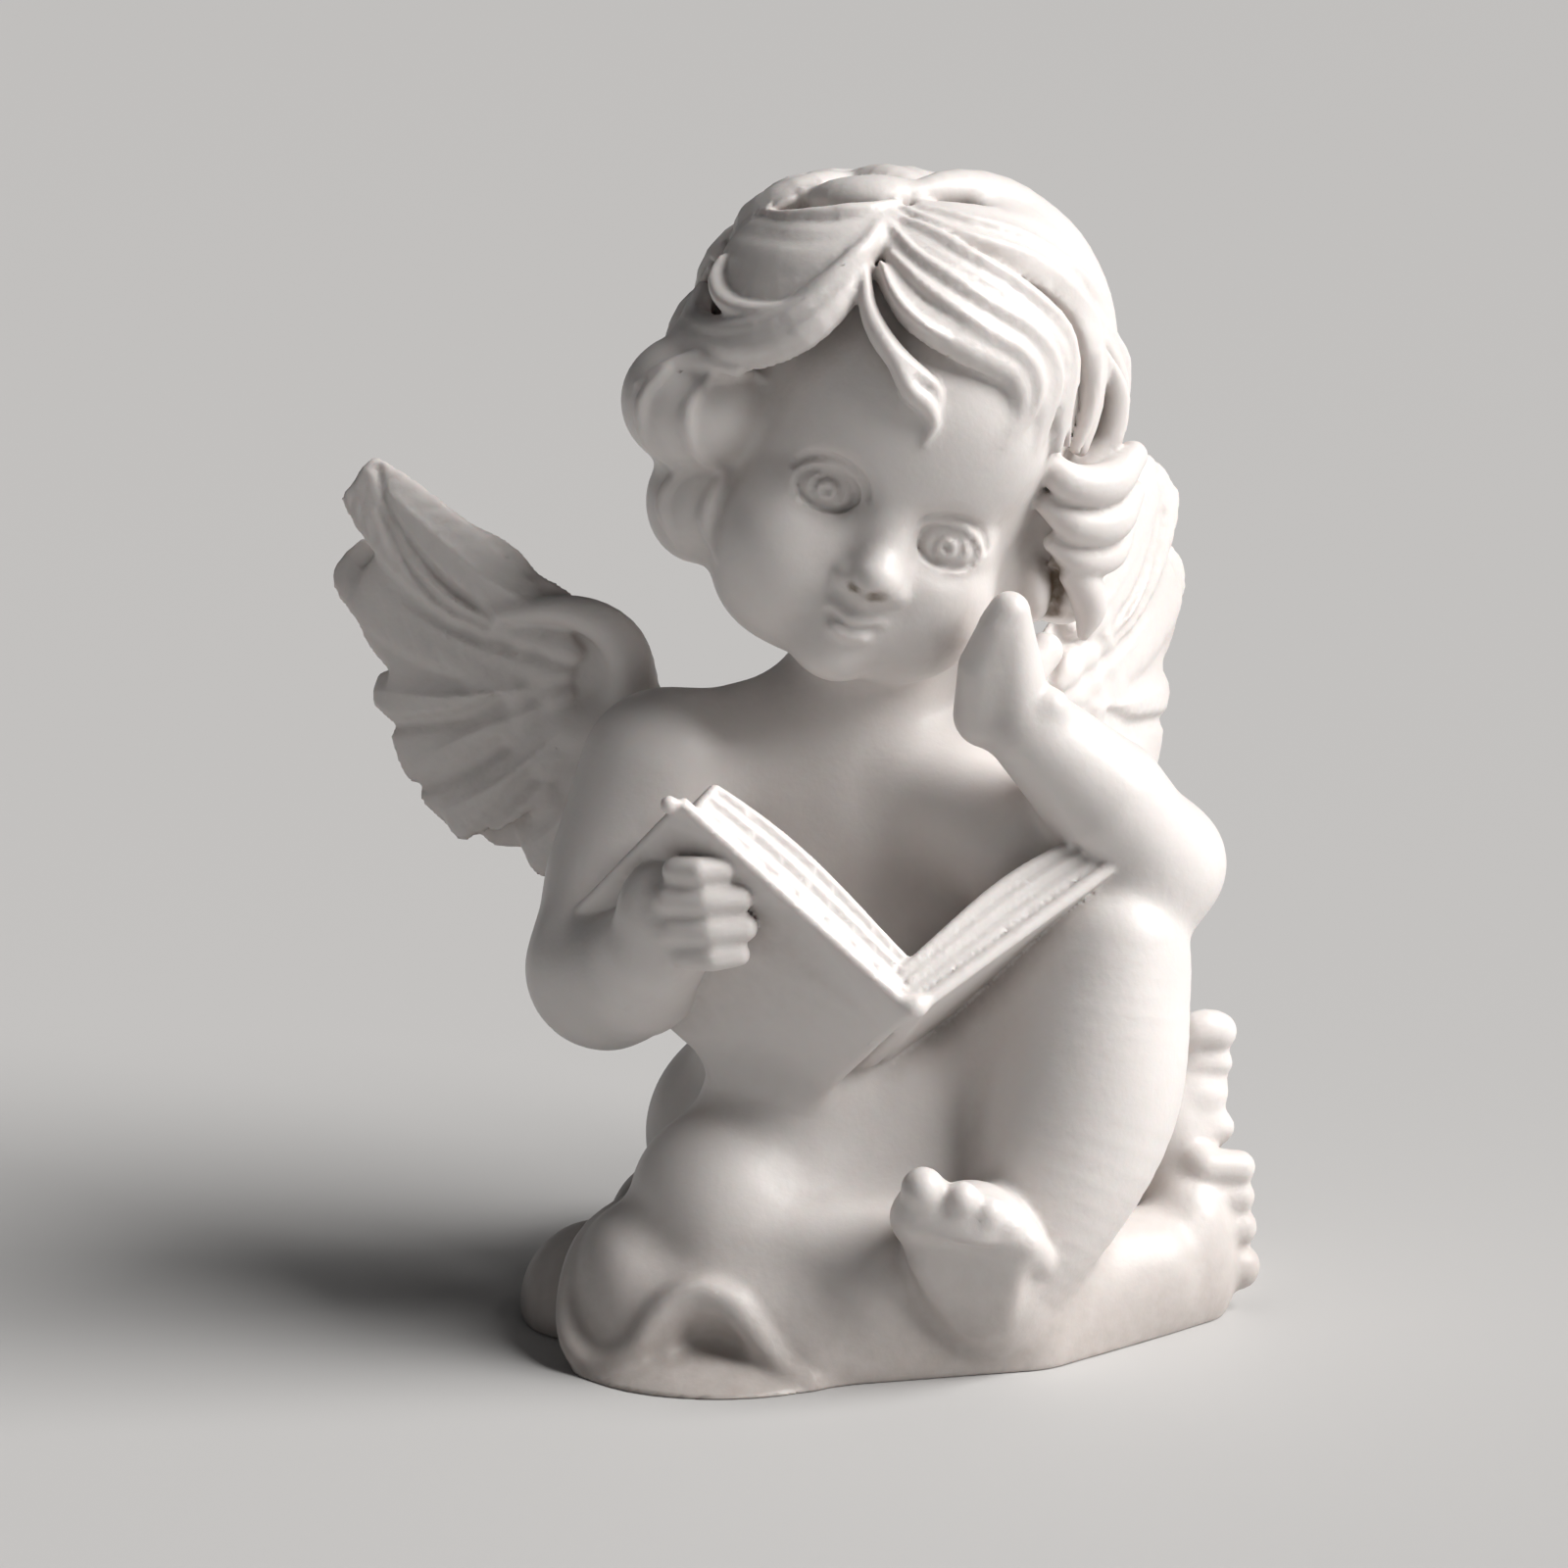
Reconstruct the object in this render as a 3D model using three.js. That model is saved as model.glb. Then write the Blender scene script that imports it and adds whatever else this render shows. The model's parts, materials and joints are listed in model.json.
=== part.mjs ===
import * as THREE from 'three';
import { MarchingCubes } from 'three/addons/objects/MarchingCubes.js';
import { mergeVertices } from 'three/addons/utils/BufferGeometryUtils.js';

// A seated winged child who leans the head on one hand and reads an open book: a small garden
// or shelf ornament of white resin plaster, cast in one piece with its rock and cloth.
// Millimetres, +Z up. The front looks along -Y and +X is to the viewer's right of it. The
// origin is in the flat underside, in the middle of the base.
// The figure is modelled as a sculptor does it, from rounded masses that are pressed together
// or cut away with soft joins, as distances to the surface. The surface is then drawn round
// them and thinned to flat facets, small ones where the carving is fine.

// Driving sizes of the modelling.
const SPAN = 128;
const GRID = 160;
const MIDDLE = new THREE.Vector3(-7.5, 3, 60.7);
const FACETS = 9000;
const MOST_DRAWN = 400000;
const FAR = 50;
// The whitewash that covers the figure, a thin even skin.
const COAT = 0.15;

const vec = (x, y, z) => new THREE.Vector3(x, y, z);
const mix = THREE.MathUtils.lerp;
const clamp = THREE.MathUtils.clamp;
const radians = THREE.MathUtils.degToRad;

// The clay: a cube of grid places, each holding the depth below the surface.

class Clay {
  constructor() {
    this.cubes = new MarchingCubes(GRID, new THREE.MeshStandardMaterial(), false, false, MOST_DRAWN);
    this.cubes.isolation = 0;
    this.cubes.field.fill(-FAR);
    this.grain = SPAN / GRID;
  }

  range(axis, box) {
    const place = (value) => ((value - MIDDLE[axis]) / SPAN + 0.5) * GRID;
    const first = Math.max(1, Math.floor(place(box.min[axis])));
    const last = Math.min(GRID - 2, Math.ceil(place(box.max[axis])));
    return [first, last];
  }

  // Presses a form on (sign 1) or cuts it away (sign -1), with a join about as wide as soft.
  work(form, soft, sign) {
    const box = form.box.clone().expandByScalar(soft + 2 * this.grain);
    const [x0, x1] = this.range('x', box);
    const [y0, y1] = this.range('y', box);
    const [z0, z1] = this.range('z', box);
    const at = (i, axis) => MIDDLE[axis] + SPAN * (i / GRID - 0.5);
    const point = vec(0, 0, 0);
    const field = this.cubes.field;
    for (let k = z0; k <= z1; k++) {
      for (let j = y0; j <= y1; j++) {
        for (let i = x0; i <= x1; i++) {
          point.set(at(i, 'x'), at(j, 'y'), at(k, 'z'));
          const index = (k * GRID + j) * GRID + i;
          const old = -field[index] * sign;
          const now = form.distance(point);
          const share = soft > 0 ? clamp(0.5 + (0.5 * (old - now)) / soft, 0, 1) : Number(now < old);
          field[index] = -sign * (mix(old, now, share) - soft * share * (1 - share));
        }
      }
    }
  }

  add(form, soft = 1) {
    this.work(form, soft, 1);
  }

  cut(form, soft = 1) {
    this.work(form, soft, -1);
  }

  // Lets the whole surface stand out evenly.
  coat(thickness) {
    const field = this.cubes.field;
    for (let i = 0; i < field.length; i++) {
      field[i] += thickness;
    }
  }
}

// Forms: each has a box that holds it and a distance from any point to its surface.

function boxAround(points, reach) {
  const box = new THREE.Box3().setFromPoints(points);
  return box.expandByScalar(reach);
}

function eggDistance(a, b, c, ra, rb, rc) {
  const near = Math.hypot(a / ra, b / rb, c / rc) + 1e-6;
  const slope = Math.hypot(a / ra / ra, b / rb / rb, c / rc / rc) + 1e-6;
  return (near * (near - 1)) / slope;
}

function egg(centre, radii) {
  const r = Array.isArray(radii) ? vec(...radii) : vec(radii, radii, radii);
  const c = vec(...centre);
  const distance = (p) => eggDistance(p.x - c.x, p.y - c.y, p.z - c.z, r.x, r.y, r.z);
  return { box: new THREE.Box3(c.clone().sub(r), c.clone().add(r)), distance };
}

// A chain of rounded, tapering lengths.
function limb(points, radii) {
  const p = points.map((q) => (q.isVector3 ? q : vec(...q)));
  const r = Array.isArray(radii) ? radii : p.map(() => radii);
  const away = vec(0, 0, 0);
  const steps = p.slice(1).map((q, i) => q.clone().sub(p[i]));
  const distance = (at) => {
    let best = Infinity;
    steps.forEach((step, i) => {
      away.copy(at).sub(p[i]);
      const t = clamp(away.dot(step) / step.lengthSq(), 0, 1);
      best = Math.min(best, away.addScaledVector(step, -t).length() - mix(r[i], r[i + 1], t));
    });
    return best;
  };
  return { box: boxAround(p, Math.max(...r)), distance };
}

function smoothLine(points, count) {
  const knots = points.map((q) => (q.isVector3 ? q : vec(...q)));
  const curve = new THREE.CatmullRomCurve3(knots, false, 'catmullrom');
  return Array.from({ length: count }, (_, i) => curve.getPoint(i / (count - 1)));
}

// A limb whose centre line and thickness both run in smooth curves.
function roundLimb(points, radii, count = 14) {
  const thickness = smoothLine(radii.map((r) => [r, 0, 0]), count).map((q) => q.x);
  return limb(smoothLine(points, count), thickness);
}

// A box with rounded edges.
function slab(centre, half, rounding) {
  const c = vec(...centre);
  const h = vec(...half);
  const distance = (p) => {
    const a = Math.abs(p.x - c.x) - h.x + rounding;
    const b = Math.abs(p.y - c.y) - h.y + rounding;
    const g = Math.abs(p.z - c.z) - h.z + rounding;
    const outside = Math.hypot(Math.max(a, 0), Math.max(b, 0), Math.max(g, 0));
    return outside + Math.min(Math.max(a, b, g), 0) - rounding;
  };
  return { box: new THREE.Box3(c.clone().sub(h), c.clone().add(h)), distance };
}

// A flat tapering form along a line, such as a lock of hair or a feather. The faces are the
// ways its broad side looks; the widths and heights are half sizes at each point.
function stroke(line, faces, widths, heights) {
  const reach = Math.max(...widths, ...heights);
  const lengths = line.slice(1).map((b, i) => {
    const step = b.clone().sub(line[i]);
    const length = step.length();
    const face = faces[i].clone().add(faces[i + 1]);
    face.addScaledVector(step, -face.dot(step) / length ** 2).normalize();
    const across = step.clone().cross(face).normalize();
    return { from: line[i], step, length, face, across };
  });
  const away = vec(0, 0, 0);
  const distance = (p) => {
    let best = FAR;
    lengths.forEach(({ from, step, length, face, across }, i) => {
      away.copy(p).sub(from);
      const run = away.dot(step) / length ** 2;
      const t = clamp(run, 0, 1);
      const w = mix(widths[i], widths[i + 1], t);
      const h = mix(heights[i], heights[i + 1], t);
      const past = (run - t) * length;
      best = Math.min(best, eggDistance(away.dot(across), away.dot(face), past, w, h, Math.min(w, h)));
    });
    return best;
  };
  return { box: boxAround(line, reach), distance };
}

// Values read at even steps along a broken line of (place, value) corners, places from 0 to 1.
function shares(corners, count) {
  return Array.from({ length: count }, (_, i) => {
    const t = i / (count - 1);
    const after = Math.max(1, corners.findIndex(([place]) => place >= t));
    const [from, low] = corners[after - 1];
    const [to, high] = corners[after];
    return mix(low, high, (t - from) / (to - from));
  });
}

// The share of the full width along a lock or feather: root, then 1 at the fullest, then tip.
function leafShares(count, root, tip, fullest) {
  return Array.from({ length: count }, (_, i) => {
    const t = i / (count - 1);
    if (t < fullest) {
      return mix(root, 1, Math.sin((t / fullest) * Math.PI * 0.5));
    }
    return mix(tip, 1, Math.cos(((t - fullest) / (1 - fullest)) * Math.PI * 0.5));
  });
}

// A place and a turn: an origin and three unit axes.
function squareFrame(origin, first, second) {
  const a = vec(...first).normalize();
  const b = vec(...second);
  b.addScaledVector(a, -a.dot(b)).normalize();
  const c = a.clone().cross(b);
  return new THREE.Matrix4().makeBasis(a, b, c).setPosition(...origin);
}

function placed(frame, form) {
  const inverse = frame.clone().invert();
  const local = vec(0, 0, 0);
  const distance = (p) => form.distance(local.copy(p).applyMatrix4(inverse));
  return { box: form.box.clone().applyMatrix4(frame), distance };
}

const clay = new Clay();

// The seat: a low rock, flat underneath.

function makeSeat() {
  clay.add(egg([-1, 5, 2], [33, 28, 8]), 0);
  clay.add(egg([-29.5, -4, 1.5], [8.2, 11, 8.0]), 2);
  clay.add(egg([17, 13, 4], [19, 18, 9]), 3);
  clay.add(egg([-6, 20, 5], [22, 13, 8]), 4);
  clay.add(limb([[-24, -19, 1.5], [-8, -22, 2], [12, -16, 2], [29, -3, 3.5]], [7.5, 7.5, 8.5, 7]), 3);
}

// The body: round belly, chest and shoulders, and the neck that leans to the right.

function makeBody() {
  clay.add(egg([-8, 8, 16], [17, 14, 14]), 3);
  clay.add(egg([-6, 1, 30], [13.0, 12.2, 14]), 5);
  clay.add(egg([-4.5, 3, 49], [15, 11, 15]), 6);
  clay.add(egg([7, 2, 38], [11, 9, 13]), 5);
  clay.add(limb([[-21, -2, 57], [-5, 4, 59], [11, 8, 57]], [7.2, 8, 7.2]), 5);
  clay.add(limb([[-3, 4, 60], [1.0, 1.5, 74]], [8.4, 8.6]), 4);
}

// The folded leg: thigh and knee to the left, the shin along the ground behind the other foot,
// and the toes one above the other at the right end, under a curl of cloth.

function makeFoldedLeg() {
  clay.add(limb([[-5, 3, 15.5], [-12, -7, 15.5], [-16.5, -14.5, 15.0]], [12.0, 10.6, 9.6]), 3);
  clay.add(limb([[-16, -17, 10.5], [-2, -20, 9], [13, -15, 7], [26, -8, 6.5]], [8.0, 8.2, 7.0, 5.6]), 3);
  clay.add(egg([-7, -11, 19], [10, 8, 7]), 4);
  clay.add(egg([31.0, -3, 7.5], [5.0, 6, 7.5]), 2);
  const toes = [[15.4, 1.9], [12.3, 1.9], [9.0, 2.2], [4.8, 2.6]];
  for (const [height, radius] of toes) {
    clay.add(limb([[32.8, -3.2, height], [36.3, -2.2, height - 0.3]], [radius * 1.05, radius * 0.95]), 0.9);
  }
  clay.add(egg([29.0, 3, 19], [5.5, 6.5, 9]), 2.5);
  clay.add(limb([[30.4, 3.0, 28.0], [31.8, 2.6, 24.4], [31.8, 1.8, 18.8]], [2.0, 3.2, 3.2]), 1.6);
  // The edge of the cloth in folds one below another: height, reach to the right, slope, radius.
  const ruffles = [[28.8, 34.2, 1.6, 2.0], [25.4, 34.6, 0.6, 1.2], [22.4, 33.6, -1.6, 1.7],
    [18.6, 34.8, 1.4, 1.3]];
  for (const [height, reach, slope, radius] of ruffles) {
    const line = [[30.2, 0.2, height - slope], [32.0, -0.3, height + 0.4], [reach, 0.8, height],
      [reach - 0.9, 2.6, height - slope]];
    clay.add(roundLimb(line, [0.8 * radius, radius, radius, 0.8 * radius], 10), 1.3);
  }
}

// The raised leg: the knee stands up under the book, and the foot rests on its heel and turns
// its sole to the front.

function makeRaisedLeg() {
  clay.add(limb([[6, 1, 16], [14, -6, 27], [21.5, -12, 40]], [12.5, 10.5, 8.0]), 4);
  clay.add(egg([5, -11, 15], [12, 9, 9]), 4);
  clay.add(egg([1.0, -9.5, 23.5], [10, 6.5, 7.5]), 4);
  const shin = [[22.3, -14, 41.5], [21.0, -15, 33], [19.2, -16.6, 25], [15.9, -19.2, 16.5], [11.9, -22.0, 9]];
  clay.add(roundLimb(shin, [7.4, 9.2, 9.5, 7.7, 5.3], 20), 3);
  clay.add(roundLimb([[7.9, -27.2, 14.2], [8.9, -25.0, 9.6], [10.4, -22.8, 5.9]], [6.4, 5.4, 4.7]), 1.6);
  const ball = squareFrame([7.6, -28.7, 15.9], [0.94, 0.1, -0.33], [0, 0.7, -0.71]);
  clay.add(placed(ball, egg([0, 0, 0], [8.0, 5.4, 3.9])), 1.0);
  const sole = squareFrame([8.2, -29.8, 10.0], [1.0, 0, -0.1], [0, -0.37, 0.93]);
  clay.cut(placed(sole, slab([0, 0.8, 3.5], [8.0, 6.0, 3.5], 0.6)), 0.8);
  const toeTips = [[3.1, -32.4, 21.4], [6.9, -32.6, 20.4], [9.5, -32.2, 18.9], [11.6, -31.6, 17.2],
    [13.4, -30.8, 15.4]];
  const toeRadii = [2.3, 1.9, 1.75, 1.6, 1.5];
  toeTips.forEach((tip, i) => {
    const root = vec(...tip).add(vec(1.4, 4.6, -3.2));
    clay.add(limb([root, vec(...tip)], [toeRadii[i] * 1.1, toeRadii[i] * 0.95]), 0.8);
  });
  const toeRoots = [[2.9, -30.8, 18.6], [6.6, -31.2, 18.0], [9.3, -30.8, 16.6], [11.9, -30.0, 14.6]];
  clay.add(roundLimb(toeRoots, [2.5, 2.2, 2.0, 1.7]), 1.4);
}

// The cloth: its hem rolls over in a tongue at the left front corner, then rises in an arch
// with a hollow below it.

function makeCloth() {
  const hem = [[-27.0, -10, 13.2], [-30.3, -13, 10.6], [-31.8, -17, 7.6], [-32.3, -20, 4.6],
    [-31.6, -23, 2.2], [-29.6, -25.0, 1.0], [-27.6, -26.2, 1.6], [-25.2, -27.0, 3.6], [-23.6, -27.2, 6.2],
    [-21.4, -27.2, 8.6], [-18.6, -27.4, 9.6], [-15.9, -27.8, 8.6], [-14.0, -28.3, 6.4], [-12.3, -28.9, 4.2],
    [-10.2, -29.3, 2.0], [-8.0, -29.4, 0.8]];
  const hemCount = 40;
  clay.add(egg([-25.0, -15.5, 7.0], [7.0, 10.0, 8.0]), 2.5);
  clay.add(egg([-15.0, -21.0, 6.0], [13.0, 7.6, 6.5]), 2.5);
  clay.cut(egg([-18.4, -31.0, 3.4], [4.7, 5.4, 4.6]), 1.2);
  clay.add(egg([-17, -21.5, -2.5], [16, 13, 6]), 1.5);
  const radii = shares([[0, 0.7], [0.12, 1.3], [0.4, 1.0], [0.85, 1.0], [1, 0.5]], hemCount);
  clay.add(limb(smoothLine(hem, hemCount), radii), 1.8);
}

// The left arm hangs close, bends at a fat elbow, and holds the book with four fingers round
// its cover.

function makeLeftArm() {
  clay.add(limb([[-23.0, -3, 57], [-27.4, -5, 46], [-28.4, -8, 38]], [8.2, 7.4, 7.6]), 3);
  clay.add(limb([[-28.4, -8.5, 37.5], [-25.5, -14, 39.0], [-23.5, -18.5, 42]], [8.0, 7.0, 5.6]), 2);
  clay.add(egg([-21.6, -21.0, 46.0], [5.6, 4.2, 6.4]), 1.0);
  // Each finger: its height, the X of its knuckle and of its tip, and its radius.
  const fingers = [[51.8, -21.0, -16.4, 1.5], [48.9, -21.6, -14.8, 1.65], [45.9, -21.2, -14.4, 1.65],
    [43.2, -20.0, -15.0, 1.45]];
  for (const [height, knuckle, tip, radius] of fingers) {
    const middle = (knuckle + tip) / 2;
    const line = [[knuckle, -24.8, height - 0.2], [middle, -26.1, height], [tip, -25.8, height + 0.2]];
    clay.add(limb(line, [radius, radius, radius * 0.84]), 0.9);
  }
}

// The right arm: the elbow stands on the raised knee and the open hand rests along the cheek.

function makeRightArm() {
  clay.add(limb([[11, 6, 57], [20, -2, 52], [27, -9, 49]], [8.4, 8.0, 6.6]), 3);
  clay.add(limb([[4, -1, 55], [14, -7, 50], [24, -10.5, 47.5]], [7.0, 7.6, 6.0]), 3);
  clay.add(limb([[27.4, -11, 48.8], [21.5, -14, 56.5], [13.6, -16.5, 64.4]], [5.9, 6.3, 4.5]), 2.5);
  clay.add(limb([[12.6, -17.0, 66.0], [11.9, -18.0, 71.0], [11.6, -19.6, 76.4]], [3.3, 3.0, 2.1]), 1.0);
  clay.add(limb([[9.6, -16.0, 65.5], [9.4, -18.0, 70.5], [10.3, -19.8, 75.0]], [3.4, 2.8, 1.8]), 1.0);
  clay.add(limb([[14.5, -17.5, 63.8], [15.8, -18.3, 66.5]], [2.6, 2.0]), 1.0);
}

// The open book: two boards hinged at the spine, each with a block of leaves on it that is
// crowned towards its outer half.

const COVER_THICKNESS = 1.5;
const LEAVES_THICKNESS = 3.6;
const LEAVES_DEPTH = 17;
const CROWN = 0.35;

// A block of leaves on a board: x out from the spine, y to the far end, z off the board.
function leaves(width, depth) {
  const edge = 0.6;
  const inset = 0.5;
  const distance = (p) => {
    const crown = 1 + CROWN * Math.sin(clamp(p.x / width, 0, 1) ** 1.4 * Math.PI);
    const half = (LEAVES_THICKNESS * crown) / 2;
    const a = Math.abs(p.x - width / 2) - width / 2 + 1.0;
    const b = Math.abs(p.y - depth / 2) - depth / 2 + inset + edge;
    const g = Math.abs(p.z - half) - half + edge;
    const outside = Math.hypot(Math.max(a, 0), Math.max(b, 0), Math.max(g, 0));
    return outside + Math.min(Math.max(a, b, g), 0) - edge;
  };
  const high = vec(width, depth, LEAVES_THICKNESS * (1 + CROWN));
  return { box: new THREE.Box3(vec(0, 0, 0), high), distance };
}

function makeBook() {
  const spineFoot = vec(2.3, -29.0, 38.8);
  // Each board's outer front corner, the way and depth it runs back, and the ways its leaves do.
  const boards = [
    { side: -1, corner: vec(-20.3, -26.0, 59.0), back: [-0.5, 0.6, -0.62], depth: 26,
      leafWays: [[-0.5, 0.6, -0.62], [-0.35, 0.78, -0.52]] },
    { side: 1, corner: vec(22.5, -18.0, 51.0), back: [-0.15, 0.855, -0.49], depth: 19,
      leafWays: [[-0.15, 0.855, -0.49]] },
  ];
  for (const { side, corner, back, depth, leafWays } of boards) {
    const width = corner.distanceTo(spineFoot);
    const out = corner.clone().sub(spineFoot).toArray();
    const board = squareFrame(spineFoot, out, back);
    const cover = slab([width / 2, depth / 2, 0], [width / 2 + 0.3, depth / 2, COVER_THICKNESS / 2], 0.6);
    clay.add(placed(board, cover), 0.2);
    // The leaves lie on the board's inner side, which is its lower axis on the left.
    const blockFoot = vec(0.6, 0, side * (COVER_THICKNESS / 2 - 0.1)).applyMatrix4(board);
    for (const leafWay of leafWays) {
      const block = squareFrame(blockFoot, out, leafWay).scale(vec(1, 1, side));
      clay.add(placed(block, leaves(width - 1.3, LEAVES_DEPTH)), 0.1);
    }
  }
  const spineHead = spineFoot.clone().add(vec(0, 0.6, 0));
  const spineEnd = spineFoot.clone().addScaledVector(vec(-0.25, 0.82, -0.5).normalize(), 16);
  clay.add(limb([spineHead, spineEnd], 1.2), 0.8);
  clay.add(egg(boards[0].corner.clone().add(vec(-1.4, 0.2, -0.6)).toArray(), 0.95), 0.3);
  clay.add(egg([-9.5, -10.5, 26], [9, 7.5, 8]), 3);
}

// The wings: short and broad, thin sheets of overlapping feathers that grow from the shoulder
// blades, with a rounded arm bone along the top. Places on a wing are out, back and up from its
// root, and the marks of a feather are (out, up).

const WING_SHEETS = [[[14, -0.3, -4.2], [13.2, 1.5, 14.8]], [[20, 0.0, 6], [10.5, 1.3, 9]],
  [[7, -0.3, -0.5], [8, 1.3, 7.5]]];
const WING_ARM = [[1.0, 0.5, -3.6], [0.6, -0.2, 0.8], [1.5, -1.0, 3.9], [4.0, -1.8, 6.0], [7.6, -2.2, 6.8],
  [11.6, -2.3, 6.4], [15.0, -2.2, 5.8]];
const WING_ARM_RADII = [3.4, 2.6, 2.3, 2.0, 1.6, 1.2, 0.8];
// Each long feather from the top one down: its marks from root to tip, its half width, the share
// of that left at the tip, how far along it is widest, and how far it stands proud.
const FEATHERS = [
  [[[11, 7.4], [16, 10], [21, 13.6], [25.8, 17.2], [29.4, 19.8]], 3.2, 0.6, 0.4, 0.3],
  [[[14, 5.6], [18, 6.6], [23, 10], [27.6, 14.6], [30.4, 18]], 2.5, 0.85, 0.8, 0.7],
  [[[10, 0.5], [17, 2.2], [23.5, 5.0], [29, 8.6], [31.6, 10.6]], 4.3, 0.7, 0.7, 0.0],
  [[[12, -2], [18, -3], [24, -3.4], [28.2, -3.2]], 2.8, 0.75, 0.7, 0.5],
  [[[10, -4], [16, -6.4], [20.6, -8.8], [23.8, -10.8]], 4.2, 0.7, 0.7, 0.1],
  [[[7, -6], [12, -10.5], [17, -13.6], [20.3, -15.2]], 4.4, 0.75, 0.7, 0.5],
  [[[2, -8], [5, -13], [9, -17], [11.5, -18.4]], 4.4, 0.75, 0.7, 0.1],
];
// The right wing is held higher, with one more feather above the others.
const UPPER_FEATHER = [[[9, 7.6], [15, 12.5], [20, 16.6], [25, 19.4], [28, 20.4]], 3.1, 0.7, 0.6, 0.1];
const FEATHER_STEPS = 12;
const FEATHER_SOFT = 0.7;
const SHINGLE = 0.22;
const COVERT_CENTRE = [2.0, -1.0];
const COVERT_RADII = [5.0, 8.6, 12.2];
// The short feathers fan from the first turn down to the last, in degrees.
const COVERT_TURNS = [38, -82];
const COVERT_SPACING = 170;

// A feather laid on the wing's front like a shingle, its lower edge a little proud.
function addFeather(frame, marks, halfWidth, tip, fullest, lift, thickness = 1.25) {
  const line = smoothLine(marks.map(([u, v]) => vec(u, 0, v)), FEATHER_STEPS);
  const last = FEATHER_STEPS - 1;
  const faces = line.map((_, i) => {
    const along = line[Math.min(i + 1, last)].clone().sub(line[Math.max(i - 1, 0)]).normalize();
    return vec(-SHINGLE * along.z, -1, SHINGLE * along.x).transformDirection(frame);
  });
  line.forEach((place, i) => {
    const bow = 1.6 - 0.0035 * place.x ** 2;
    place.y = -(bow + lift + 0.4 * Math.sin((i / last) * Math.PI));
    place.applyMatrix4(frame);
  });
  const widths = leafShares(FEATHER_STEPS, 0.6, tip, fullest).map((share) => halfWidth * share);
  const heights = leafShares(FEATHER_STEPS, 1.0, 0.55, 0.3).map((share) => thickness * share);
  clay.add(stroke(line, faces, widths, heights), FEATHER_SOFT);
}

function makeWing(sign, lean, lifted, root, armPoints) {
  const swing = radians(lean);
  const rise = radians(lifted);
  const level = vec(sign * Math.cos(swing), Math.sin(swing), 0);
  const back = vec(-sign * Math.sin(swing), Math.cos(swing), 0);
  const upright = vec(0, 0, 1);
  const out = level.clone().multiplyScalar(Math.cos(rise)).addScaledVector(upright, Math.sin(rise));
  const up = upright.clone().multiplyScalar(Math.cos(rise)).addScaledVector(level, -Math.sin(rise));
  const frame = new THREE.Matrix4().makeBasis(out, back, up).setPosition(...root);
  for (const [centre, radii] of WING_SHEETS) {
    clay.add(placed(frame, egg(centre, radii)), 0.6);
  }
  clay.add(placed(frame, limb([[-9, 2, -9], [-1, 0.0, -6], [8, -0.6, -6]], [5.6, 4.4, 2.6])), 2);
  for (const feather of sign > 0 ? [...FEATHERS, UPPER_FEATHER] : FEATHERS) {
    addFeather(frame, ...feather);
  }
  COVERT_RADII.forEach((radius, row) => {
    const spacing = COVERT_SPACING / (radius + 2);
    const [first, last] = COVERT_TURNS;
    for (let turn = first - 0.5 * spacing * (row % 2); turn > last; turn -= spacing) {
      const angle = radians(turn);
      const length = 3.8 + 0.8 * Math.sin(11 * angle + row);
      const mark = (reach, drop) => [COVERT_CENTRE[0] + reach * Math.cos(angle),
        COVERT_CENTRE[1] + reach * Math.sin(angle) - drop];
      const marks = [mark(radius, 0), mark(radius + 0.5 * length, 0), mark(radius + length, 0.4)];
      addFeather(frame, marks, 1.7, 0.6, 0.6, 0.55, 0.8);
    }
  });
  const arm = roundLimb(WING_ARM.slice(0, armPoints), WING_ARM_RADII.slice(0, armPoints), 18);
  clay.add(placed(frame, arm), 0.8);
}

// The head: full cheeks, small nose, wide eyes. It leans to the right and bows a little. Its
// own axes are x to the face's right as seen, y to the back, z to the crown.

const HEAD_LEAN = radians(21);
const HEAD_BOW = radians(4);
const head = new THREE.Matrix4().makeTranslation(2.2, -1.0, 91.0)
  .multiply(new THREE.Matrix4().makeRotationY(HEAD_LEAN))
  .multiply(new THREE.Matrix4().makeRotationX(-HEAD_BOW));

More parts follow.
